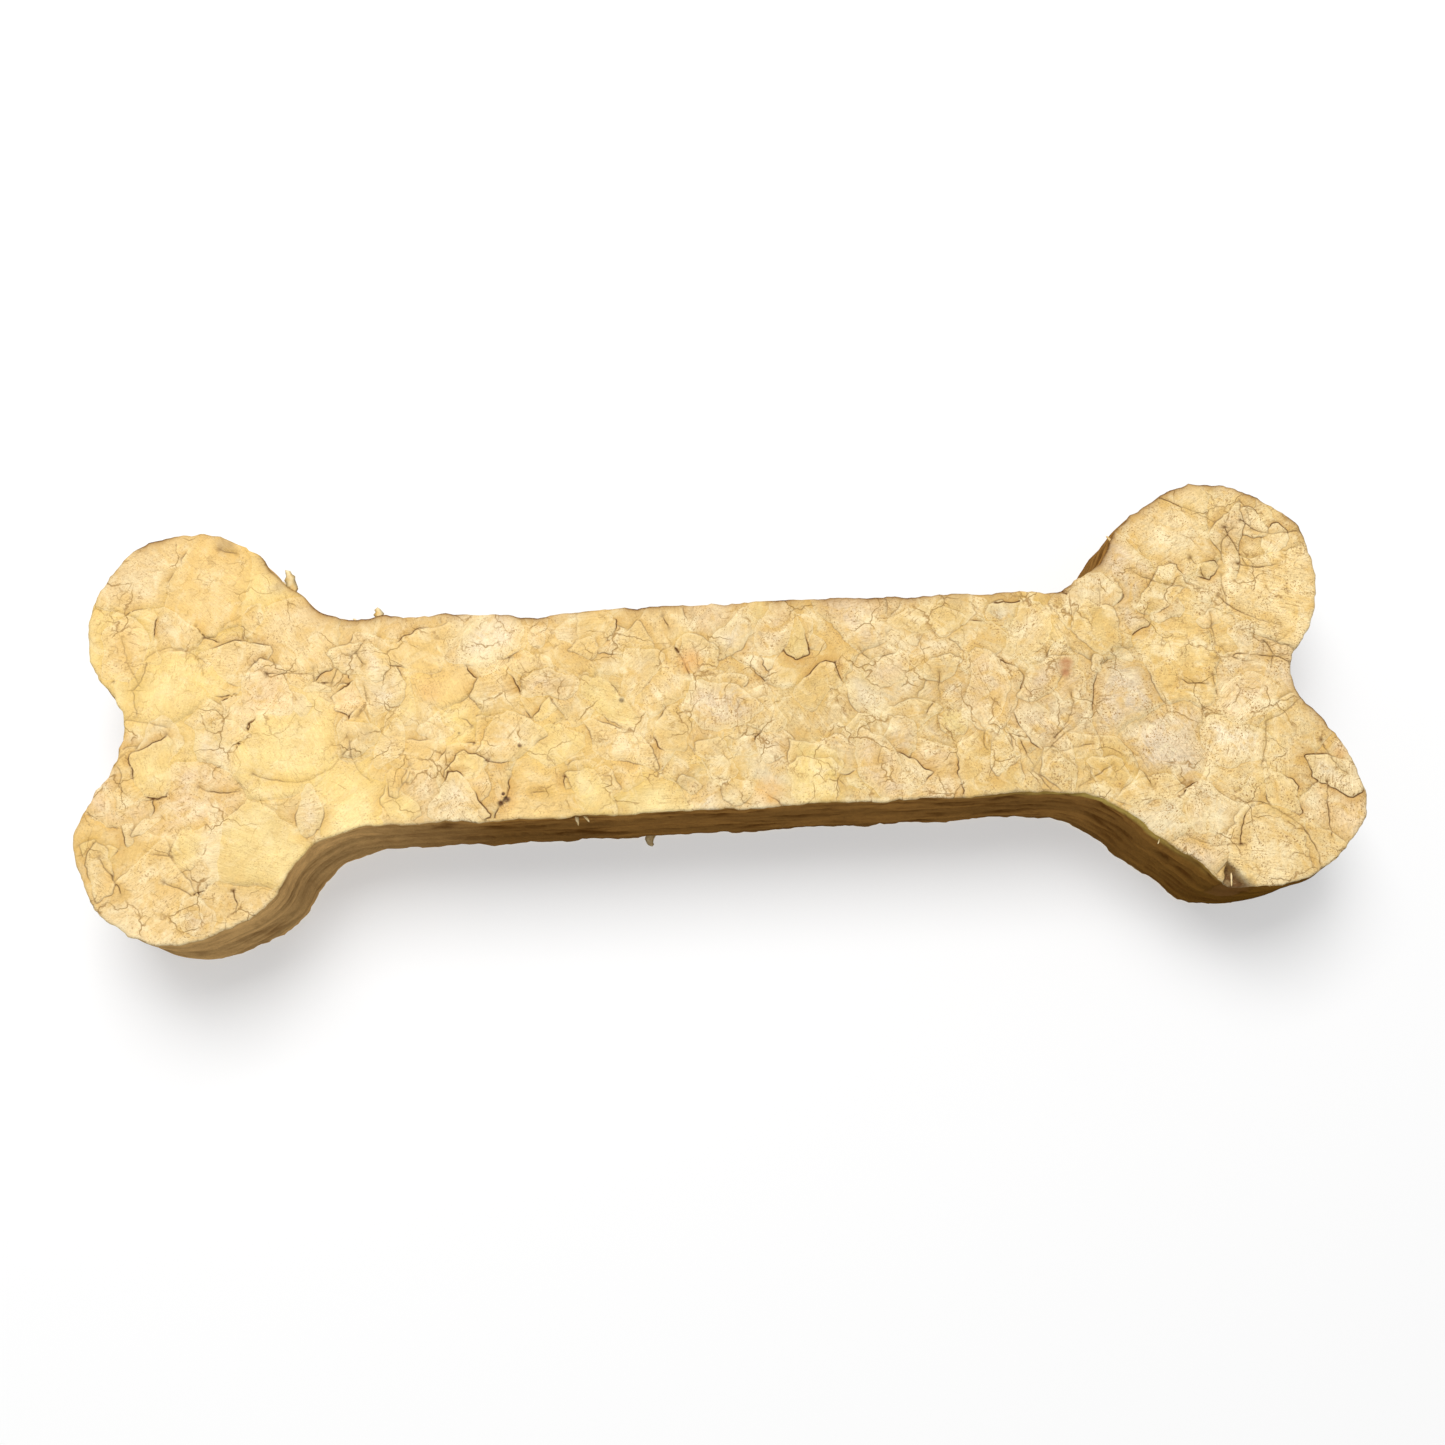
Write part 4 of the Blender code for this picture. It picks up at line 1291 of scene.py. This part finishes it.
def wall_map(column, columns, height):
    """Where the corners of the wall's triangles are in the baking map, and how far along the rim."""
    along = column * RIM_STEP
    strip_length = columns * RIM_STEP / WALL_STRIPS
    strip = (column.min(axis=1) * RIM_STEP / strip_length).astype(int)[:, None]
    u = (along - strip * strip_length + STRIP_MARGIN) / MAP_WIDTH
    v = (FIRST_STRIP_ROW + STRIP_ROW_STEP * strip + height) / MAP_WIDTH
    return np.stack([u, v], axis=2), along


def wall_part(wall, lower_start, wall_start):
    """The wall between the two faces' rims, with what its material needs at each corner."""
    rows, columns = wall.seam.shape
    numbers = np.zeros((rows, columns), int)
    numbers[0] = np.arange(columns)
    numbers[-1] = lower_start + np.arange(columns)
    numbers[1:-1] = wall_start + np.arange((rows - 2) * columns).reshape(rows - 2, columns)
    row, column = wall_cells(rows, columns)
    corner = (row, column % columns)
    triangles = numbers[corner]
    height = wall.places[corner][..., 2]
    uv, along = wall_map(column, columns, height)
    paleness = LEFT_SEAM_PALENESS * left_wall_share(wall.places[..., 0])
    shade = wall.seam * (WALL_SEAM_SHADE - paleness)
    return Part(
        places=wall.places[1:-1].reshape(-1, 3),
        triangles=triangles,
        slot=np.full(len(triangles), WALL_SLOT),
        seam=shade[1:-1].ravel(),
        halo=WALL_HALO * shade[corner],
        edge=np.zeros(triangles.shape),
        wall=np.ones((rows - 2) * columns),
        tint=wall_tones(wall.places[corner], wall.tone[corner]),
        grain=np.full(triangles.shape, WALL_GRAIN),
        fibre=np.stack([along, height, np.zeros_like(along)], axis=2),
        uv=uv,
    )


def joined_parts(upper, lower, wall):
    """One closed mesh of the two faces and the wall, with its attributes and map."""
    lower_start = len(upper.places)
    lower = lower._replace(triangles=lower.triangles + lower_start)
    sides = wall_part(wall, lower_start, lower_start + len(lower.places))
    return Part(*(np.concatenate(values) for values in zip(upper, lower, sides)))


def stain_values(places):
    """Colour and weight of the spots at each place of the upper face."""
    colour = np.zeros((len(places), 3))
    weight = np.zeros(len(places))
    upper = places[:, 2] > THICKNESS / 2
    for stain in STAINS:
        away = np.hypot(places[:, 0] - stain.x, places[:, 1] - stain.y) / stain.radius
        here = stain.weight * np.clip(STAIN_SHARPNESS * (1 - away), 0, 1) * upper
        stronger = here > weight
        colour[stronger] = stain.colour
        weight = np.maximum(weight, here)
    chip = chip_share(places[:, :2]) * upper
    colour[chip > 0] = CHIP_COLOUR
    return np.column_stack([colour, np.maximum(weight, chip)])


def chew_object(part):
    """The mesh object in metres, with the values that its material reads."""
    places = part.places.copy()
    places[:, 0] -= MIDDLE.x
    places[:, 1] -= MIDDLE.y
    data = bpy.data.meshes.new("pressed_chew")
    data.vertices.add(len(places))
    data.vertices.foreach_set("co", (places * MILLIMETRE).ravel())
    data.loops.add(part.triangles.size)
    data.loops.foreach_set("vertex_index", part.triangles.ravel())
    data.polygons.add(len(part.triangles))
    data.polygons.foreach_set("loop_start", np.arange(0, part.triangles.size, 3))
    data.update(calc_edges=True)
    data.validate()
    data.polygons.foreach_set("material_index", part.slot)
    layers = (
        ("seam", "FLOAT", "POINT", "value", part.seam),
        ("wall", "FLOAT", "POINT", "value", part.wall),
        ("stain", "FLOAT_COLOR", "POINT", "color", stain_values(part.places)),
        ("halo", "FLOAT", "CORNER", "value", part.halo),
        ("edge", "FLOAT", "CORNER", "value", part.edge),
        ("grain", "FLOAT", "CORNER", "value", part.grain),
        ("tint", "FLOAT_COLOR", "CORNER", "color", np.insert(part.tint, 3, 1.0, axis=2)),
        ("fibre", "FLOAT_VECTOR", "CORNER", "vector", part.fibre),
    )
    for name, kind, domain, field, values in layers:
        data.attributes.new(name, kind, domain).data.foreach_set(field, values.ravel())
    data.uv_layers.new(name="OFBake").data.foreach_set("uv", part.uv.ravel())
    data.shade_smooth()
    return bpy.data.objects.new("pressed_chew", data)


def dressed_chew():
    """The whole chew as a mesh object."""
    coarse, coarse_outward = bone_outline(OUTLINE_STEP, SWELLS)
    field = [point - out * RIM_MARGIN for point, out in zip(coarse, coarse_outward)]
    outline, outward, rags = ragged_outline(RIM_STEP)
    upper_flakes = scatter_flakes(UPPER_SEED, UPPER_FLAKES, field)
    lower_flakes = scatter_flakes(LOWER_SEED, LOWER_FLAKES, field)
    patches = thin_flakes(THIN_FLAKE_SEED, THIN_FLAKES, field)
    upper = upper_sheet(outline, outward, upper_flakes, patches)
    lower = lower_sheet(outline, outward, lower_flakes)
    wall = wall_mesh(outline, outward, rags, upper, lower)
    upper_part = sheet_part(upper, upper_flakes + patches, UPPER_SEED, UPPER_FACE_ROW, False)
    lower_part = sheet_part(lower, lower_flakes, LOWER_SEED, LOWER_FACE_ROW, True)
    return chew_object(joined_parts(upper_part, lower_part, wall))


def sliver_shape(sliver):
    """Places and faces of a thin pointed leaf with a ragged edge."""
    heading, rise = math.radians(sliver.heading), math.radians(sliver.rise)
    along = Vector((math.cos(heading) * math.cos(rise), math.sin(heading) * math.cos(rise), math.sin(rise)))
    across = Vector((-math.sin(heading), math.cos(heading), 0.0))
    up = along.cross(across)
    base = Vector((sliver.x - MIDDLE.x, sliver.y - MIDDLE.y, sliver.z))
    places = [base]
    for section in range(1, SLIVER_SECTIONS):
        share = section / SLIVER_SECTIONS
        middle = base + along * sliver.length * share
        middle += across * SLIVER_BEND * sliver.width * noise.noise(middle * SLIVER_BEND_SCALE)
        fullness = math.sin(math.pi * min(1 - SLIVER_BLUNTNESS, share + SLIVER_BLUNTNESS))
        half = 0.5 * sliver.width * math.sqrt(fullness)
        ragged = middle * SLIVER_RAG_SCALE
        left = across * half * (1 + SLIVER_RAGS * noise.noise(ragged))
        right = across * half * (1 + SLIVER_RAGS * noise.noise(ragged + OTHER_NOISE))
        thick = up * 0.5 * SLIVER_THICKNESS * (1 + SLIVER_BLUNTNESS - share)
        places += [middle + left, middle + thick, middle - right, middle - thick]
    places.append(base + along * sliver.length)
    tip = len(places) - 1
    faces = []
    for side in range(4):
        other = (side + 1) % 4
        faces.append((0, 1 + other, 1 + side))
        faces.append((tip, tip - 4 + side, tip - 4 + other))
        for ring in range(SLIVER_SECTIONS - 2):
            start = 1 + 4 * ring
            faces.append((start + side, start + other, start + 4 + other, start + 4 + side))
    return places, faces


def rim_slivers():
    """The slivers and fibres along the rim as one mesh object."""
    places = []
    faces = []
    for sliver in SLIVERS:
        own_places, own_faces = sliver_shape(sliver)
        faces += [tuple(len(places) + corner for corner in face) for face in own_faces]
        places += own_places
    data = bpy.data.meshes.new("rim_slivers")
    data.from_pydata([place * MILLIMETRE for place in places], [], faces)
    data.shade_smooth()
    return bpy.data.objects.new("rim_slivers", data)


class Nodes:
    """Adds nodes to a material and joins them."""

    def __init__(self, material):
        material.use_nodes = True
        self.tree = material.node_tree
        self.shader = self.tree.nodes["Principled BSDF"]

    def add(self, kind, inputs, **settings):
        """A node with its settings, and with values or other nodes' outputs at its inputs."""
        node = self.tree.nodes.new(kind)
        for name, value in settings.items():
            setattr(node, name, value)
        for key, value in inputs.items():
            self.feed(node.inputs[key], value)
        return node

    def feed(self, socket, value):
        """Sets a socket to a value, or joins it to another node's output."""
        if isinstance(value, bpy.types.NodeSocket):
            self.tree.links.new(value, socket)
        else:
            socket.default_value = value

    def attribute(self, name, output="Fac"):
        return self.add("ShaderNodeAttribute", {}, attribute_name=name).outputs[output]

    def noise(self, place, scale, detail=2.0, roughness=0.5, distortion=0.0):
        """Noise from 0 to 1."""
        inputs = {"Vector": place, "Scale": scale, "Detail": detail}
        inputs.update({"Roughness": roughness, "Distortion": distortion})
        return self.add("ShaderNodeTexNoise", inputs).outputs["Fac"]

    def math(self, operation, first, second=0.0, clamp=False):
        node = self.add("ShaderNodeMath", {0: first, 1: second}, operation=operation, use_clamp=clamp)
        return node.outputs[0]

    def times(self, first, second, clamp=False):
        return self.math("MULTIPLY", first, second, clamp)

    def plus(self, first, second, clamp=False):
        return self.math("ADD", first, second, clamp)

    def span(self, value, low, high, to_low=0.0, to_high=1.0):
        """A value's range mapped to another, and kept within it."""
        inputs = {"Value": value, "From Min": low, "From Max": high, "To Min": to_low, "To Max": to_high}
        return self.add("ShaderNodeMapRange", inputs).outputs[0]

    def mix(self, factor, first, second, blend="MIX"):
        """Two colours mixed."""
        node = self.add("ShaderNodeMix", {}, data_type="RGBA", blend_type=blend)
        self.feed(node.inputs[0], factor)
        self.feed(node.inputs[FIRST_COLOUR], first)
        self.feed(node.inputs[SECOND_COLOUR], second)
        return node.outputs[MIXED_COLOUR]

    def vector_math(self, operation, first, second):
        return self.add("ShaderNodeVectorMath", {0: first, 1: second}, operation=operation).outputs[0]

    def scaled(self, place, factors):
        """A place with its axes stretched."""
        return self.vector_math("MULTIPLY", place, factors)


class HideNodes(Nodes):
    """The values that all layers of the hide share, and one function for each layer."""

    def __init__(self, material):
        super().__init__(material)
        self.place = self.add("ShaderNodeTexCoord", {}).outputs["Object"]
        self.grain = self.attribute("grain")
        self.wall = self.attribute("wall")
        self.face = self.math("SUBTRACT", 1.0, self.wall)
        self.fibre = self.attribute("fibre", "Vector")
        self.broad = self.noise(self.place, *BROAD_NOISE)
        self.medium = self.noise(self.place, *MEDIUM_NOISE)
        self.fine = self.noise(self.place, *FINE_NOISE)
        self.streaks = self.noise(self.scaled(self.fibre, STREAK_STRETCH), *STREAK_NOISE)
        self.coarseness = self.plus(self.times(self.grain, 0.75), 0.35)
        self.mottled = self.plus(self.times(self.grain, 0.85), 0.22, clamp=True)
        self.line_colour = self.mix(0.5, SEAM_COLOUR, HALO_COLOUR)

    def tinted(self):
        """The flake's own tint with lighter and darker patches, grains and streaks."""
        tone = self.span(self.broad, 0.30, 0.72, 0.93, 1.05)
        tone = self.times(tone, self.span(self.medium, 0.30, 0.72, 0.91, 1.09))
        grainy = self.times(self.span(self.fine, 0.3, 0.7, -0.17, 0.12), self.coarseness)
        fibrous = self.times(self.span(self.streaks, 0.32, 0.70, -0.13, 0.09), self.coarseness)
        tone = self.plus(tone, self.plus(grainy, fibrous))
        grey = self.add("ShaderNodeCombineColor", {"Red": tone, "Green": tone, "Blue": tone})
        return self.mix(1.0, self.attribute("tint", "Color"), grey.outputs[0], "MULTIPLY")

    def clouded(self, colour):
        """A colour with golden clouds and chalky patches, or with brown clouds on the wall."""
        cloud = self.span(self.noise(self.place, *CLOUD_NOISE), 0.47, 0.66, 0.0, 0.80)
        share = self.times(self.mottled, self.span(self.wall, 0, 1, 1.0, 0.5))
        cloud_colour = self.mix(self.wall, CLOUD_COLOUR, WALL_SHADE_COLOUR)
        colour = self.mix(self.times(cloud, share), colour, cloud_colour)
        chalk = self.span(self.noise(self.place, *CHALK_NOISE), 0.49, 0.70, 0.0, 0.75)
        chalk = self.times(chalk, self.times(self.mottled, self.face))
        return self.mix(chalk, colour, PALE_COLOUR)

    def with_seam_shade_and_highlight(self, colour):
        """A colour with painted shade beside the seams and along the back rim, darker layer edges on the
        wall, and painted highlights on raised flakes' edges and the front rim.
        """
        halo = self.times(self.attribute("halo"), self.span(self.medium, 0.3, 0.7, 0.45, 1.05))
        colour = self.mix(halo, colour, self.mix(self.wall, HALO_COLOUR, SEAM_COLOUR))
        edge = self.times(self.attribute("edge"), self.span(self.grain, 0.0, 1.0, 0.08, 0.42))
        return self.mix(edge, colour, PALE_COLOUR)

    def crooked_lines(self, scale, width, bend, shown_from):
        """Thin crooked lines from 0 to 1 that show only in patches."""
        inputs = {"Vector": self.place, "Scale": scale * 1.7, "Detail": 3.0}
        moved = self.add("ShaderNodeTexNoise", inputs)
        centred = self.vector_math("SUBTRACT", moved.outputs["Color"], (0.5, 0.5, 0.5))
        bent = self.vector_math("ADD", self.place, self.scaled(centred, (bend, bend, bend)))
        inputs = {"Vector": bent, "Scale": scale}
        cells = self.add("ShaderNodeTexVoronoi", inputs, feature="DISTANCE_TO_EDGE")
        line = self.span(cells.outputs["Distance"], 0.0, width, 1.0, 0.0)
        shown = self.span(self.noise(self.place, scale * 0.9, 3.0, 0.6), shown_from, shown_from + 0.12)
        return self.times(line, shown)

    def hair_cracks(self):
        """Wide and small hair cracks on the wide faces, stronger where the hide is coarse."""
        wide = self.crooked_lines(*WIDE_HAIRS)
        small = self.crooked_lines(*SMALL_HAIRS)
        hairs = self.math("MAXIMUM", wide, self.times(small, 0.6))
        return self.times(hairs, self.times(self.span(self.grain, 0.1, 0.6, 0.3, 0.9), self.face))

    def dark_fibres(self):
        """Dark fibres on the wide faces, along each flake's own direction."""
        fibres = self.noise(self.scaled(self.fibre, FIBRE_STRETCH), *FIBRE_NOISE)
        patches = self.span(self.broad, 0.42, 0.58)
        fibres = self.times(self.span(fibres, 0.58, 0.68, 0.0, 0.55), patches)
        return self.times(self.times(fibres, self.coarseness), self.face)

    def seams(self):
        """How dark the seams and cracks are."""
        seam = self.math("POWER", self.attribute("seam"), 1.3)
        return self.times(seam, self.span(self.fine, 0.25, 0.6, 1.0, 1.8), clamp=True)

    def stained(self, colour):
        """A colour with the ragged spots."""
        stain = self.add("ShaderNodeAttribute", {}, attribute_name="stain")
        ragged = self.span(self.medium, 0.3, 0.6, 0.55, 1.1)
        ragged = self.times(stain.outputs["Alpha"], ragged, clamp=True)
        return self.mix(ragged, colour, stain.outputs["Color"])

    def speckled(self, colour):
        """A colour with small pores on the wide faces, denser in patches."""
        specks = self.span(self.noise(self.place, *SPECK_NOISE), 0.55, 0.67, 0.0, 0.95)
        patches = self.span(self.noise(self.place, *SPECK_PATCH_NOISE), 0.42, 0.62, 0.25, 1.0)
        specks = self.times(specks, self.times(patches, self.coarseness))
        return self.mix(self.times(specks, self.face), colour, SPECK_COLOUR)

    def dullness(self, seam):
        """Roughness: low on smooth hide, high on coarse hide and in seams."""
        dull = self.span(self.grain, 0.0, 1.0, 0.42, 0.68)
        dull = self.plus(dull, self.span(self.medium, 0.3, 0.7, -0.08, 0.08))
        return self.math("MAXIMUM", dull, seam)

    def fine_relief(self, hairs):
        """Grains, streaks and hair cracks as bump."""
        height = self.plus(self.times(self.fine, 0.7), self.streaks)
        height = self.plus(height, self.times(self.medium, 1.3))
        height = self.math("SUBTRACT", height, hairs)
        inputs = {"Strength": BUMP_STRENGTH, "Distance": BUMP_DISTANCE, "Height": height}
        return self.add("ShaderNodeBump", inputs).outputs[0]


def hide_material(name, shine):
    """Dried hide: flakes of their own tint, mottled, fibrous and pored, with brown seams."""
    material = bpy.data.materials.new(name)
    nodes = HideNodes(material)
    hairs = nodes.hair_cracks()
    seams = nodes.seams()
    colour = nodes.with_seam_shade_and_highlight(nodes.clouded(nodes.tinted()))
    colour = nodes.mix(hairs, colour, nodes.line_colour)
    colour = nodes.mix(nodes.dark_fibres(), colour, nodes.line_colour)
    colour = nodes.mix(seams, colour, SEAM_COLOUR)
    colour = nodes.speckled(nodes.stained(colour))
    inputs = nodes.shader.inputs
    nodes.feed(inputs["Base Color"], colour)
    nodes.feed(inputs["Roughness"], nodes.dullness(seams))
    nodes.feed(inputs["Specular IOR Level"], shine)
    nodes.feed(inputs["Normal"], nodes.fine_relief(hairs))
    return material


def sliver_material():
    """Pale dry hide, mottled a little."""
    material = bpy.data.materials.new("dry_sliver")
    nodes = Nodes(material)
    place = nodes.add("ShaderNodeTexCoord", {}).outputs["Object"]
    mottling = nodes.span(nodes.noise(place, *SLIVER_NOISE), 0.35, 0.7)
    nodes.feed(nodes.shader.inputs["Base Color"], nodes.mix(mottling, SLIVER_COLOUR, CLOUD_COLOUR))
    nodes.feed(nodes.shader.inputs["Roughness"], SLIVER_DULLNESS)
    return material


def floor_object():
    """A plain pale floor just under the chew."""
    half = FLOOR_HALF_WIDTH
    data = bpy.data.meshes.new("floor")
    corners = [(-half, -half, 0), (half, -half, 0), (half, half, 0), (-half, half, 0)]
    data.from_pydata(corners, [], [(0, 1, 2, 3)])
    material = bpy.data.materials.new("floor_white")
    nodes = Nodes(material)
    looks = {"Base Color": FLOOR_COLOUR, "Roughness": FLOOR_DULLNESS}
    looks.update({"Emission Color": WHITE, "Emission Strength": FLOOR_GLOW})
    for name, value in looks.items():
        nodes.feed(nodes.shader.inputs[name], value)
    data.materials.append(material)
    floor = bpy.data.objects.new("floor", data)
    floor.location.z = FLOOR_HEIGHT
    bpy.context.scene.collection.objects.link(floor)


def key_light():
    """A square soft light that faces the chew."""
    light = bpy.data.lights.new("key", "AREA")
    light.size = KEY_SIZE
    light.energy = KEY_POWER
    lamp = bpy.data.objects.new("key", light)
    lamp.location = KEY_PLACE
    lamp.rotation_euler = Vector(KEY_PLACE).to_track_quat("Z", "Y").to_euler()
    bpy.context.scene.collection.objects.link(lamp)


def studio():
    """Camera, lights and surroundings."""
    camera = bpy.data.cameras.new("camera")
    camera.lens = CAMERA_LENS
    camera.sensor_width = CAMERA_SENSOR
    camera.clip_start = NEAREST_SEEN
    camera.clip_end = FARTHEST_SEEN
    viewer = bpy.data.objects.new("camera", camera)
    viewer.location = CAMERA_PLACE
    viewer.rotation_euler = Euler([math.radians(angle) for angle in CAMERA_TURN])
    bpy.context.scene.collection.objects.link(viewer)
    bpy.context.scene.camera = viewer
    key_light()
    world = bpy.data.worlds.new("surroundings")
    world.use_nodes = True
    background = world.node_tree.nodes["Background"]
    background.inputs["Color"].default_value = WHITE
    background.inputs["Strength"].default_value = SURROUNDING_LIGHT
    bpy.context.scene.world = world
    bpy.context.scene.view_settings.view_transform = "Standard"


def main():
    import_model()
    studio()
    floor_object()
    chew = dressed_chew()
    chew.data.materials.append(hide_material("pressed_hide", FACE_SHINE))
    chew.data.materials.append(hide_material("pressed_wall", WALL_SHINE))
    slivers = rim_slivers()
    slivers.data.materials.append(sliver_material())
    for piece in (chew, slivers):
        bpy.context.scene.collection.objects.link(piece)
        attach(piece, "root")
    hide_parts("chew")
    bpy.context.view_layer.update()


main()
